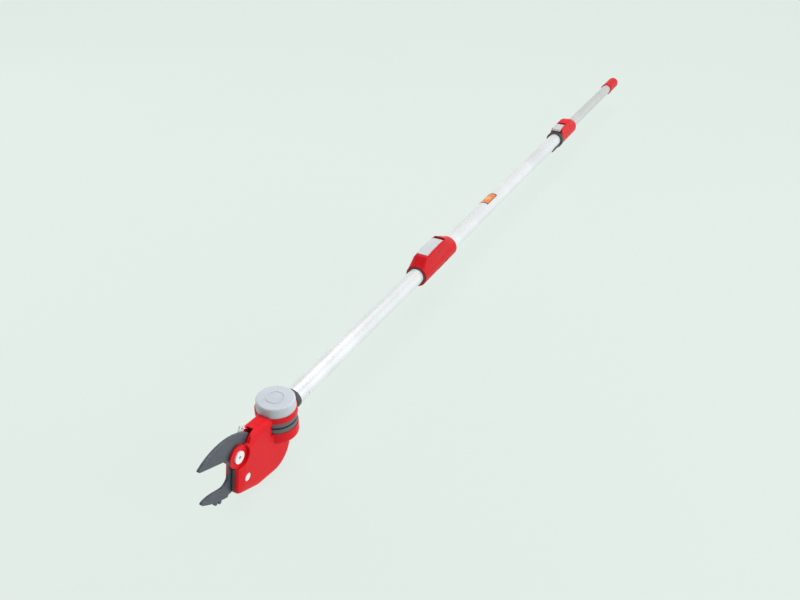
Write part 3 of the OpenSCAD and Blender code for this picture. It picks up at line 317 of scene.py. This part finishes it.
def wrapped_patch(name, x0, x1, radius, middle, turn, thick, material):
    """Thin patch on a tube: points (x, R cos a, R sin a) on a grid of lengths x and turns a, one skin at the
    tube and one at R + thick, joined round the rim. The corner coordinates run 0 to 1 both ways."""
    rows, cols = 24, 25
    x, a = np.meshgrid(np.linspace(x0, x1, rows), middle + turn * np.linspace(-0.5, 0.5, cols), indexing="ij")
    skins = [np.stack([x, r * np.cos(a), r * np.sin(a)], -1).reshape(-1, 3) for r in (radius, radius + thick)]
    i, j = np.meshgrid(np.arange(rows - 1), np.arange(cols - 1), indexing="ij")
    low = np.stack([i * cols + j, i * cols + j + 1, (i + 1) * cols + j + 1, (i + 1) * cols + j], -1).reshape(-1, 4)
    grid = np.arange(rows * cols).reshape(rows, cols)
    rim = np.concatenate([grid[0, :-1], grid[:-1, -1], grid[-1, :0:-1], grid[:0:-1, 0]])
    nxt = np.roll(rim, -1)
    wall = np.stack([rim, nxt, nxt + rows * cols, rim + rows * cols], -1)
    faces = np.concatenate([low, (low + rows * cols)[:, ::-1], wall[:, ::-1]])
    place = np.stack([(grid // cols) / (rows - 1), (grid % cols) / (cols - 1)], -1).reshape(-1, 2)
    uv = np.concatenate([place, place])[faces.ravel()]
    smooth = [True] * (2 * len(low)) + [False] * len(wall)
    return mesh_object(name, np.concatenate(skins), faces.tolist(), smooth, uv, material)


# Material helpers


class Tree:
    """Short way to add nodes and links to a material or group tree."""

    def __init__(self, tree):
        self.tree = tree

    def add(self, kind, inputs=None, **settings):
        """Node of a kind with its settings; each input is a constant or a socket to link from."""
        node = self.tree.nodes.new(kind)
        for key, value in settings.items():
            setattr(node, key, value)
        for key, value in (inputs or {}).items():
            if isinstance(value, bpy.types.NodeSocket):
                self.tree.links.new(value, node.inputs[key])
            else:
                node.inputs[key].default_value = value
        return node

    def math(self, operation, a, b=0.0, c=0.0):
        """Result socket of one arithmetic node."""
        return self.add("ShaderNodeMath", {0: a, 1: b, 2: c}, operation=operation).outputs[0]

    def span(self, value, low, high, to_low, to_high):
        """Value mapped from one span to another and held at its ends."""
        return self.add("ShaderNodeMapRange", {"Value": value, "From Min": low, "From Max": high,
                                               "To Min": to_low, "To Max": to_high}).outputs["Result"]

    def mix(self, factor, a, b):
        """Colour mixed from a to b."""
        return self.add("ShaderNodeMix", {0: factor, 6: a, 7: b}, data_type="RGBA").outputs[2]


def rgba(colour, gain=1.0):
    """Colour with alpha, brightened by a gain."""
    return tuple(min(1.0, c * gain) for c in colour) + (1.0,)


def new_group(name, inputs, outputs):
    """Shader group with a vector, float inputs and float outputs; gives it, its tree and its two end nodes."""
    group = bpy.data.node_groups.new(name, "ShaderNodeTree")
    group.interface.new_socket("Vector", in_out="INPUT", socket_type="NodeSocketVector")
    for key, value in inputs.items():
        group.interface.new_socket(key, in_out="INPUT", socket_type="NodeSocketFloat").default_value = value
    for key in outputs:
        group.interface.new_socket(key, in_out="OUTPUT", socket_type="NodeSocketFloat")
    tree = Tree(group)
    return group, tree, tree.add("NodeGroupInput"), tree.add("NodeGroupOutput")


def grain_group():
    """Moulded grain: fine bumps, and slow clouds for the colour and the roughness."""
    group, t, source, sink = new_group("Moulded grain", {"Grain": 1400.0, "Cloud": 45.0}, ("Height", "Clouds"))
    fine = t.add("ShaderNodeTexNoise", {"Vector": source.outputs["Vector"], "Scale": source.outputs["Grain"],
                                        "Detail": 3.0, "Roughness": 0.55})
    cloud = t.add("ShaderNodeTexNoise", {"Vector": source.outputs["Vector"], "Scale": source.outputs["Cloud"],
                                         "Detail": 4.0, "Roughness": 0.6})
    t.tree.links.new(fine.outputs["Fac"], sink.inputs["Height"])
    t.tree.links.new(t.span(cloud.outputs["Fac"], 0.3, 0.7, 0.0, 1.0), sink.inputs["Clouds"])
    return group


def scuff_group():
    """Scuffs: thin broken lines in two directions, gathered in patches."""
    group, t, source, sink = new_group("Scuffs", {"Amount": 0.5}, ("Mask",))
    lines = []
    for turn, scale in ((0.5, (900.0, 60.0, 320.0)), (-0.8, (120.0, 500.0, 1100.0))):
        turned = t.add("ShaderNodeMapping", {"Vector": source.outputs["Vector"], "Rotation": (turn, turn, turn),
                                             "Scale": scale})
        noise = t.add("ShaderNodeTexNoise", {"Vector": turned.outputs[0], "Scale": 1.0, "Detail": 2.0})
        lines.append(t.span(noise.outputs["Fac"], 0.66, 0.74, 0.0, 1.0))
    patch = t.add("ShaderNodeTexNoise", {"Vector": source.outputs["Vector"], "Scale": 70.0, "Detail": 2.0})
    gate = t.span(patch.outputs["Fac"], 0.45, 0.7, 0.0, 1.0)
    both = t.math("MAXIMUM", lines[0], lines[1])
    t.tree.links.new(t.math("MULTIPLY", t.math("MULTIPLY", both, gate), source.outputs["Amount"]),
                     sink.inputs["Mask"])
    return group


def drawn_group():
    """Drawn metal: long fine lines along X, and slow patches of duller anodising."""
    group, t, source, sink = new_group("Drawn lines", {"Fine": 1600.0}, ("Lines", "Patches"))
    stretch = t.add("ShaderNodeCombineXYZ", {"X": 4.0, "Y": source.outputs["Fine"], "Z": source.outputs["Fine"]})
    mapped = t.add("ShaderNodeVectorMath", {0: source.outputs["Vector"], 1: stretch.outputs[0]},
                   operation="MULTIPLY")
    lines = t.add("ShaderNodeTexNoise", {"Vector": mapped.outputs[0], "Scale": 1.0, "Detail": 3.0})
    patch = t.add("ShaderNodeTexNoise", {"Vector": source.outputs["Vector"], "Scale": 14.0, "Detail": 3.0})
    t.tree.links.new(lines.outputs["Fac"], sink.inputs["Lines"])
    t.tree.links.new(t.span(patch.outputs["Fac"], 0.35, 0.65, 0.0, 1.0), sink.inputs["Patches"])
    return group


def braid_group():
    """Braid: strands that cross round a rod, from its corner coordinates."""
    group, t, source, sink = new_group("Braid", {"Strands": 6.0, "Lay": 0.8}, ("Height",))
    part = t.add("ShaderNodeSeparateXYZ", {"Vector": source.outputs["Vector"]})
    around = t.math("MULTIPLY", part.outputs["X"], source.outputs["Strands"])
    length = t.math("MULTIPLY", part.outputs["Y"], source.outputs["Lay"])
    waves = [t.math("ABSOLUTE", t.math("SINE", t.math("MULTIPLY", t.math(op, around, length), math.pi)))
             for op in ("ADD", "SUBTRACT")]
    t.tree.links.new(t.math("MAXIMUM", waves[0], waves[1]), sink.inputs["Height"])
    return group


def edge_group():
    """Edge wear: where a rounded normal leaves the true one, broken up by noise."""
    group, t, source, sink = new_group("Edge wear", {"Radius": 0.0008, "Amount": 0.6}, ("Mask",))
    round_normal = t.add("ShaderNodeBevel", {"Radius": source.outputs["Radius"]}, samples=4)
    true_normal = t.add("ShaderNodeNewGeometry")
    agree = t.add("ShaderNodeVectorMath", {0: round_normal.outputs[0], 1: true_normal.outputs["Normal"]},
                  operation="DOT_PRODUCT")
    edge = t.span(agree.outputs["Value"], 0.985, 0.80, 0.0, 1.0)
    noise = t.add("ShaderNodeTexNoise", {"Vector": source.outputs["Vector"], "Scale": 260.0, "Detail": 4.0})
    broken = t.span(noise.outputs["Fac"], 0.35, 0.6, 0.15, 1.0)
    t.tree.links.new(t.math("MULTIPLY", t.math("MULTIPLY", edge, broken), source.outputs["Amount"]),
                     sink.inputs["Mask"])
    return group


def painted_shade_group():
    """Painted shade: darkness in corners and recesses, found by ambient occlusion and broken up by noise."""
    group, t, source, sink = new_group("Painted shade", {"Reach": 0.006, "Amount": 0.5}, ("Mask",))
    room = t.add("ShaderNodeAmbientOcclusion", {"Distance": source.outputs["Reach"]}, samples=16)
    noise = t.add("ShaderNodeTexNoise", {"Vector": source.outputs["Vector"], "Scale": 180.0, "Detail": 3.0})
    broken = t.span(noise.outputs["Fac"], 0.3, 0.7, 0.7, 1.0)
    closed = t.span(room.outputs["AO"], 0.7, 0.2, 0.0, 1.0)
    t.tree.links.new(t.math("MULTIPLY", t.math("MULTIPLY", closed, broken), source.outputs["Amount"]),
                     sink.inputs["Mask"])
    return group


GROUP_MAKERS = {"grain": grain_group, "scuff": scuff_group, "drawn": drawn_group, "braid": braid_group,
                "edge": edge_group, "painted_shade": painted_shade_group}
GROUPS = {}


def group_node(t, kind, inputs):
    """Node of one of the shared groups, which is made when it is first needed."""
    if kind not in GROUPS:
        GROUPS[kind] = GROUP_MAKERS[kind]()
    return t.add("ShaderNodeGroup", inputs, node_tree=GROUPS[kind])


def new_material(name):
    """Empty material; gives the material, its tree and the node of its coordinates."""
    material = bpy.data.materials.new(name)
    material.use_nodes = True
    material.node_tree.nodes.clear()
    t = Tree(material.node_tree)
    return material, t, t.add("ShaderNodeTexCoord")


def finish_material(t, colour, roughness, height, bump, distance, **constants):
    """Principled surface with linked colour, roughness and bump, and constants set on its sockets."""
    bumped = t.add("ShaderNodeBump", {"Height": height, "Strength": bump, "Distance": distance})
    surface = t.add("ShaderNodeBsdfPrincipled", {"Base Color": colour, "Roughness": roughness,
                                                 "Normal": bumped.outputs[0]})
    for key, value in constants.items():
        surface.inputs[key.replace("_", " ").title().replace("Ior", "IOR")].default_value = value
    output = t.add("ShaderNodeOutputMaterial")
    t.tree.links.new(surface.outputs[0], output.inputs["Surface"])


def plastic(name, colour, rough, grain, bump, scuff, wear=0.4, shine=0.5, corner_shade=0.5, shade_before=None):
    """Moulded plastic: fine grain, slow clouds in colour and gloss, pale scuffs, paler worn edges and painted shade
    in corners and recesses; before the given place on X the colour is darker, as painted shade."""
    material, t, place = new_material(name)
    fine = group_node(t, "grain", {"Vector": place.outputs["Object"], "Grain": grain})
    worn = group_node(t, "scuff", {"Vector": place.outputs["Object"], "Amount": scuff})
    base = t.mix(fine.outputs["Clouds"], rgba(colour, 0.93), rgba(colour, 1.05))
    # Painted shade on the swivel eye's collar: the colour darkens before the given place on X
    if shade_before:
        part = t.add("ShaderNodeSeparateXYZ", {"Vector": place.outputs["Object"]})
        base = t.mix(t.span(part.outputs["X"], shade_before - EYE_SHADE_FADE, shade_before, 1.0, 0.0), base, rgba(colour, EYE_SHADE_GAIN))
    base = t.mix(worn.outputs["Mask"], base, rgba([c * 0.8 + 0.12 for c in colour]))
    edge = group_node(t, "edge", {"Vector": place.outputs["Object"], "Amount": wear})
    base = t.mix(edge.outputs["Mask"], base, rgba([c * 0.85 + 0.15 for c in colour]))
    # Painted shade: the colour darkens where ambient occlusion finds corners and recesses
    painted_shade = group_node(t, "painted_shade", {"Vector": place.outputs["Object"], "Amount": corner_shade})
    base = t.mix(painted_shade.outputs["Mask"], base, rgba(colour, 0.3))
    gloss = t.math("ADD", t.span(fine.outputs["Clouds"], 0.0, 1.0, rough - 0.05, rough + 0.05),
                   t.math("MULTIPLY", worn.outputs["Mask"], 0.2))
    finish_material(t, base, gloss, fine.outputs["Height"], bump, 0.0002, specular_ior_level=shine)
    return material


def metal(name, colour, rough, bump, metallic, scuff):
    """Drawn or turned metal: long fine lines, duller patches, a few scuffs and painted shade in corners and recesses.
    """
    material, t, place = new_material(name)
    lines = group_node(t, "drawn", {"Vector": place.outputs["Object"]})
    worn = group_node(t, "scuff", {"Vector": place.outputs["Object"], "Amount": scuff})
    base = t.mix(lines.outputs["Patches"], rgba(colour, 0.95), rgba(colour, 1.04))
    base = t.mix(worn.outputs["Mask"], base, rgba(colour, 0.7))
    # Painted shade: the colour darkens strongly where ambient occlusion finds corners, sockets and recesses
    painted_shade = group_node(t, "painted_shade", {"Vector": place.outputs["Object"], "Reach": 0.003, "Amount": 0.9})
    base = t.mix(painted_shade.outputs["Mask"], base, rgba(colour, 0.12))
    gloss = t.math("ADD", t.span(lines.outputs["Lines"], 0.3, 0.7, rough - 0.02, rough + 0.02),
                   t.math("MULTIPLY", lines.outputs["Patches"], 0.04))
    finish_material(t, base, gloss, lines.outputs["Lines"], bump, 0.0001, metallic=metallic)
    return material


def coating(name, colour):
    """Blade coating: dark satin skin with fine speckle, bright rubbed lines and painted shade in corners."""
    material, t, place = new_material(name)
    fine = group_node(t, "grain", {"Vector": place.outputs["Object"], "Grain": 2200.0, "Cloud": 80.0})
    worn = group_node(t, "scuff", {"Vector": place.outputs["Object"], "Amount": 0.45})
    speck = t.span(fine.outputs["Height"], 0.6, 0.72, 0.0, 1.0)
    base = t.mix(fine.outputs["Clouds"], rgba(colour, 0.86), rgba(colour, 1.12))
    base = t.mix(t.math("MULTIPLY", speck, 0.35), base, rgba(colour, 2.2))
    base = t.mix(worn.outputs["Mask"], base, rgba(colour, 2.2))
    edge = group_node(t, "edge", {"Vector": place.outputs["Object"], "Radius": 0.0006, "Amount": 0.4})
    base = t.mix(edge.outputs["Mask"], base, rgba(RUBBED_STEEL))
    # Painted shade: the colour darkens a little where ambient occlusion finds corners and recesses
    painted_shade = group_node(t, "painted_shade", {"Vector": place.outputs["Object"], "Reach": 0.003, "Amount": 0.15})
    base = t.mix(painted_shade.outputs["Mask"], base, rgba(colour, 0.25))
    gloss = t.span(fine.outputs["Clouds"], 0.0, 1.0, 0.34, 0.46)
    finish_material(t, base, gloss, fine.outputs["Height"], 0.12, 0.0001, metallic=0.35)
    return material


def braided(name, colour):
    """Braided cord: crossing strands on the rod's corner coordinates, with darker gaps."""
    material, t, place = new_material(name)
    braid = group_node(t, "braid", {"Vector": place.outputs["UV"]})
    base = t.mix(t.span(braid.outputs["Height"], 0.6, 0.95, 0.0, 1.0), rgba(colour, 0.35), rgba(colour, 1.1))
    gloss = t.span(braid.outputs["Height"], 0.6, 1.0, 0.85, 0.65)
    finish_material(t, base, gloss, braid.outputs["Height"], 0.8, 0.0003)
    return material


def printed_label(name, colour, border):
    """Bare label: one warm colour with a darker border and a paler middle, and a satin film."""
    material, t, place = new_material(name)
    part = t.add("ShaderNodeSeparateXYZ", {"Vector": place.outputs["UV"]})
    off = [t.math("ABSOLUTE", t.math("SUBTRACT", part.outputs[k], 0.5)) for k in ("X", "Y")]
    rim = t.span(t.math("MAXIMUM", off[0], off[1]), 0.40, 0.44, 0.0, 1.0)
    middle = t.span(t.math("ADD", t.math("MULTIPLY", off[0], 1.6), off[1]), 0.1, 0.45, 1.0, 0.0)
    fine = group_node(t, "grain", {"Vector": place.outputs["Object"], "Grain": 900.0, "Cloud": 200.0})
    base = t.mix(middle, rgba(colour), rgba(LABEL_GLOW))
    base = t.mix(t.math("MULTIPLY", fine.outputs["Clouds"], 0.12), base, rgba(colour, 0.6))
    base = t.mix(rim, base, rgba(border))
    gloss = t.span(fine.outputs["Clouds"], 0.0, 1.0, 0.3, 0.4)
    finish_material(t, base, gloss, fine.outputs["Height"], 0.05, 0.0001)
    return material


def dress(nodes, material, edge):
    """CAD nodes with a material; their triangles are welded, sharp edges rounded and normals evened by modifiers."""
    for name in nodes:
        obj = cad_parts[name]
        obj.data.materials.clear()
        obj.data.materials.append(material)
        weld = obj.modifiers.new("Weld", "WELD")
        weld.merge_threshold = WELD_REACH
        if edge > 0:
            bevel = obj.modifiers.new("Bevel", "BEVEL")
            bevel.width = edge
            bevel.segments = EDGE_STEPS
            bevel.limit_method = "ANGLE"
            bevel.angle_limit = EDGE_ANGLE
            bevel.harden_normals = False
        even = obj.modifiers.new("Even normals", "WEIGHTED_NORMAL")
        even.weight = 50
        even.keep_sharp = True


# Operators


class PRUNER_OT_tubes(bpy.types.Operator):
    """Give the three tubes their drawn metal and put the bare label on the middle tube"""

    bl_idname = "pruner.tubes"
    bl_label = "Dress the tubes"

    def execute(self, context):
        colours, sizes = context.scene.pruner_colours, context.scene.pruner_sizes
        bright = metal("Tube", colours.tube, rough=0.34, bump=0.012, metallic=0.30, scuff=0.12)
        dull = metal("Dull tube", colours.dull_tube, rough=0.36, bump=0.012, metallic=0.30, scuff=0.14)
        dress(TUBE_NODES, bright, sizes.steel_edge)
        dress(DULL_TUBE_NODES, dull, sizes.steel_edge)
        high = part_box("middle_tube")[1]
        label = wrapped_patch("bare_label", sizes.label_from / MM, sizes.label_to / MM, high.z / MM, LABEL_MIDDLE,
                              sizes.label_turn, LABEL_THICK, printed_label("Label", colours.label, LABEL_RIM))
        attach(label, "middle")
        return {"FINISHED"}


class PRUNER_OT_mouldings(bpy.types.Operator):
    """Give the moulded pieces their plastics: two reds, dark, eye, lever and knob grey, white and rubber"""

    bl_idname = "pruner.mouldings"
    bl_label = "Dress the mouldings"

    def execute(self, context):
        colours, sizes = context.scene.pruner_colours, context.scene.pruner_sizes
        red = {"rough": 0.42, "grain": 1100.0, "bump": 0.08, "scuff": 0.08, "wear": 0.25, "shine": 0.12}
        dress(RED_NODES, plastic("Red plastic", colours.red, **red), sizes.edge)
        dress(DEEP_RED_NODES, plastic("Deep red plastic", colours.deep_red, **red), sizes.edge)
        dress(DARK_NODES, plastic("Dark plastic", colours.dark, rough=0.50, grain=1500.0, bump=0.16, scuff=0.30),
              sizes.edge / 2)
        # The eye plastic carries painted shade on the swivel eye's collar, before the given place on X
        dress(EYE_NODES, plastic("Eye plastic", colours.eye, rough=0.48, grain=1500.0, bump=0.14, scuff=0.15,
                                 corner_shade=0.1, shade_before=EYE_SHADE_LIMIT), sizes.edge / 2)
        dress(LEVER_NODES, plastic("Lever plastic", colours.lever, rough=0.42, grain=1300.0, bump=0.10, scuff=0.20,
                                   shine=0.35), sizes.edge)
        dress(KNOB_NODES, plastic("Knob plastic", colours.knob, rough=0.45, grain=1300.0, bump=0.12, scuff=0.20,
                                  shine=0.2), sizes.edge / 2)
        dress(NYLON_NODES, plastic("White plastic", WHITE, rough=0.45, grain=1000.0, bump=0.06, scuff=0.10),
              sizes.edge / 3)
        dress(RUBBER_NODES, plastic("Rubber", RUBBER, rough=0.78, grain=1800.0, bump=0.30, scuff=0.10),
              sizes.edge / 2)
        return {"FINISHED"}


class PRUNER_OT_pad(bpy.types.Operator):
    """Make the pad that closes the gap between the hook blade and the near housing half"""

    bl_idname = "pruner.pad"
    bl_label = "Make the hook pad"

    def execute(self, context):
        colours = context.scene.pruner_colours
        turn = arc(SWIVEL + PAD_CORNER, X_WAY, Z_WAY, PAD_ROUND, PAD_FROM, PAD_TO, 12)
        path = joined(along(SWIVEL + PAD_TOP, turn[0], 20), turn)
        look = plastic("Pad plastic", colours.eye, rough=0.55, grain=1500.0, bump=0.14, scuff=0.15, corner_shade=0.1)
        pad = swept_rod("hook_pad", path, PAD_HALF, X_WAY, PAD_SIDES, look, flat=PAD_WIDE, power=PAD_POWER)
        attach(pad, "head")
        return {"FINISHED"}


class PRUNER_OT_metal(bpy.types.Operator):
    """Give the blades their coating, and the bolts, pins and bushes their metals"""

    bl_idname = "pruner.metal"
    bl_label = "Dress the blades and fastenings"

    def execute(self, context):
        colours, sizes = context.scene.pruner_colours, context.scene.pruner_sizes
        dress(BLADE_NODES, coating("Blade coating", colours.blade), sizes.steel_edge)
        dress(STEEL_NODES, metal("Steel", colours.steel, rough=0.30, bump=0.04, metallic=0.55, scuff=0.20),
              sizes.steel_edge)
        dress(BRASS_NODES, metal("Brass", BRASS, rough=0.32, bump=0.04, metallic=1.0, scuff=0.20),
              sizes.steel_edge)
        return {"FINISHED"}


class PRUNER_OT_spring(bpy.types.Operator):
    """Make the return spring: a coil with a hook round its peg and a hook through the blade's lug"""

    bl_idname = "pruner.spring"
    bl_label = "Make the return spring"

    def execute(self, context):
        sizes = context.scene.pruner_sizes
        wire, coil, pitch = sizes.spring_wire / MM, sizes.spring_coil / MM, sizes.spring_pitch / MM
        peg, lug = SWIVEL + SPRING_PEG, SWIVEL + SPRING_LUG
        reach = np.linalg.norm(lug - peg)
        ahead = (lug - peg) / reach
        aside = np.array([ahead[2], 0.0, -ahead[0]])

        def helix(turn):
            """peg + (lead + turn pitch) ahead + coil (sin a Y + cos a aside), with a = 2 pi turn."""
            a = 2 * np.pi * turn[:, None]
            run = SPRING_LEAD + turn[:, None] * pitch
            return peg + run * ahead + coil * (np.sin(a) * Y_WAY + np.cos(a) * aside)

        turns = sizes.spring_turns
        hook = arc(peg, aside, -ahead, SPRING_LOOP, 235, 0, 40)
        body = helix(np.linspace(0.25, turns - 0.25, 28 * turns))
        rise = bezier(hook[-1], hook[-1] + 5 * ahead, body[0] - 12 * (body[1] - body[0]), body[0], 16)
        centre = peg + (reach - SPRING_RING + 0.05) * ahead
        eye = arc(centre, -ahead, -Y_WAY, SPRING_RING, 25, 320, 44)
        fall = bezier(body[-1], body[-1] + 12 * (body[-1] - body[-2]), eye[0] + 8 * (eye[0] - eye[1]), eye[0], 24)
        path = joined(hook, rise, body, fall, eye)
        look = metal("Spring steel", context.scene.pruner_colours.steel, rough=0.25, bump=0.03, metallic=1.0,
                     scuff=0.1)
        spring = swept_rod("return_spring_wire", path, wire / 2, unit(ahead + aside + Y_WAY), WIRE_SIDES, look)
        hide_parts("return_spring")
        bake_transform(spring)
        return {"FINISHED"}


class PRUNER_OT_cords(bpy.types.Operator):
    """Make the three runs of the braided pull cord"""

    bl_idname = "pruner.cords"
    bl_label = "Make the pull cord"

    def execute(self, context):
        radius = context.scene.pruner_sizes.cord / MM / 2
        look = braided("Braided cord", CORD)
        for name, node, body in (("cord_upper", "pull_cord_upper", "upper"),
                                 ("cord_lower", "pull_cord_lower", "pull")):
            low, high = (np.array(p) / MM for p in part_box(node))
            middle = (low + high) / 2
            run = along(np.array([low[0], middle[1], middle[2]]), np.array([high[0], middle[1], middle[2]]), 60)
            rod = swept_rod(name, run, radius, Y_WAY, CORD_SIDES, look)
            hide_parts(node)
            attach(rod, body)
        roller, pulley, anchor = SWIVEL + HEAD_ROLLER, SWIVEL + TAIL_PULLEY, SWIVEL + CORD_ANCHOR
        guide, wrap, hold = GUIDE_GROOVE + radius, PULLEY_GROOVE + radius, ANCHOR_RADIUS + radius
        down = unit(pulley - roller)
        out = np.array([-down[2], 0.0, down[0]])
        back = unit(pulley - anchor)
        under = np.array([back[2], 0.0, -back[0]])
        over = math.degrees(math.acos(out[2]))
        start = math.degrees(math.atan2(out[2], out[0]))
        end = math.degrees(math.atan2(under[2], under[0]))
        bend = arc(roller, Z_WAY, X_WAY, guide, 0, over, 12)
        turn = arc(pulley, X_WAY, Z_WAY, wrap, start, end, 40)
        path = joined(along(SWIVEL + CORD_ENTRY, bend[0], 20), bend, along(bend[-1], turn[0], 16), turn,
                      along(turn[-1], anchor + hold * under, 16))
        rod = swept_rod("cord_head", path, radius, Y_WAY, CORD_SIDES, look)
        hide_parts("pull_cord_head")
        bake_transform(rod)
        return {"FINISHED"}


class PRUNER_OT_stage(bpy.types.Operator):
    """Make the plain floor, the soft lights and the camera"""

    bl_idname = "pruner.stage"
    bl_label = "Make the stage"

    def execute(self, context):
        scene, settings = context.scene, context.scene.pruner_stage
        material, t, place = new_material("Floor")
        cloud = t.add("ShaderNodeTexNoise", {"Vector": place.outputs["Object"], "Scale": 1.5, "Detail": 2.0})
        tone = t.mix(cloud.outputs["Fac"], rgba(settings.floor, 1 - FLOOR_SPREAD),
                     rgba(settings.floor, 1 + FLOOR_SPREAD))
        surface = t.add("ShaderNodeBsdfPrincipled", {"Base Color": rgba(FLOOR_BASE), "Roughness": 0.9,
                                                     "Emission Color": tone, "Emission Strength": FLOOR_GLOW})
        output = t.add("ShaderNodeOutputMaterial")
        t.tree.links.new(surface.outputs[0], output.inputs["Surface"])
        material.cycles.emission_sampling = "NONE"
        level = (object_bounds()[0][2] - FLOOR_DROP) / MM
        corners = np.array([[-1, -1, 0], [1, -1, 0], [1, 1, 0], [-1, 1, 0]], float)
        floor = mesh_object("floor", corners * FLOOR_REACH + np.array([0.0, 0.0, level]), [[0, 1, 2, 3]], [False],
                            corners[:, :2], material)
        floor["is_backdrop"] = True

        world = bpy.data.worlds.new("Surround")
        world.use_nodes = True
        t = Tree(world.node_tree)
        way = t.add("ShaderNodeSeparateXYZ", {"Vector": t.add("ShaderNodeTexCoord").outputs["Generated"]})
        height = t.span(way.outputs["Z"], SKY_FROM, SKY_TO, 0.0, 1.0)
        tone = t.mix(height, rgba(settings.floor), rgba(SKY, settings.sky))
        shade = t.math("MULTIPLY", t.span(way.outputs["X"], SHADE_FROM, SHADE_TO, 0.0, SHADE), height)
        tone = t.mix(shade, tone, rgba(BLACK))
        t.tree.links.new(tone, world.node_tree.nodes["Background"].inputs["Color"])
        scene.world = world
        scene.view_settings.view_transform = "Standard"
        for name, place, aim, size, share in LIGHTS:
            lamp = bpy.data.lights.new(name, "AREA")
            lamp.energy, lamp.size = settings.key * share, size
            placed(name, lamp, place, np.array(place) - np.array(aim), Z_WAY)

        camera = bpy.data.cameras.new("Camera")
        camera.lens, camera.sensor_width, camera.clip_end = settings.lens, SENSOR, FAR_LIMIT
        scene.camera = placed("Camera", camera, CAMERA_PLACE, CAMERA_BACK, CAMERA_UP)
        return {"FINISHED"}


class PRUNER_PT_panel(bpy.types.Panel):
    """Sidebar panel with the settings and one button for each group of pieces"""

    bl_label = "Tree pruner pole"
    bl_idname = "PRUNER_PT_panel"
    bl_space_type = "VIEW_3D"
    bl_region_type = "UI"
    bl_category = "Pruner"

    def draw(self, context):
        for group in (context.scene.pruner_colours, context.scene.pruner_sizes, context.scene.pruner_stage):
            box = self.layout.box()
            for key in group.bl_rna.properties.keys():
                if key not in ("rna_type", "name"):
                    box.prop(group, key)
        for operator in OPERATORS:
            self.layout.operator(operator.bl_idname)


OPERATORS = (PRUNER_OT_tubes, PRUNER_OT_mouldings, PRUNER_OT_pad, PRUNER_OT_metal, PRUNER_OT_spring,
             PRUNER_OT_cords, PRUNER_OT_stage)
CLASSES = (PrunerColours, PrunerSizes, PrunerStage) + OPERATORS + (PRUNER_PT_panel,)


def register():
    """Add the classes and the scene's settings."""
    for cls in CLASSES:
        bpy.utils.register_class(cls)
    bpy.types.Scene.pruner_colours = PointerProperty(type=PrunerColours)
    bpy.types.Scene.pruner_sizes = PointerProperty(type=PrunerSizes)
    bpy.types.Scene.pruner_stage = PointerProperty(type=PrunerStage)


def unregister():
    """Take the settings and the classes away again."""
    del bpy.types.Scene.pruner_stage, bpy.types.Scene.pruner_sizes, bpy.types.Scene.pruner_colours
    for cls in reversed(CLASSES):
        bpy.utils.unregister_class(cls)


def main():
    """Make every piece and the stage."""
    register()
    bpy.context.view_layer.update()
    bpy.ops.pruner.tubes()
    bpy.ops.pruner.mouldings()
    bpy.ops.pruner.pad()
    bpy.ops.pruner.metal()
    bpy.ops.pruner.spring()
    bpy.ops.pruner.cords()
    bpy.ops.pruner.stage()


if __name__ == "__main__":
    main()
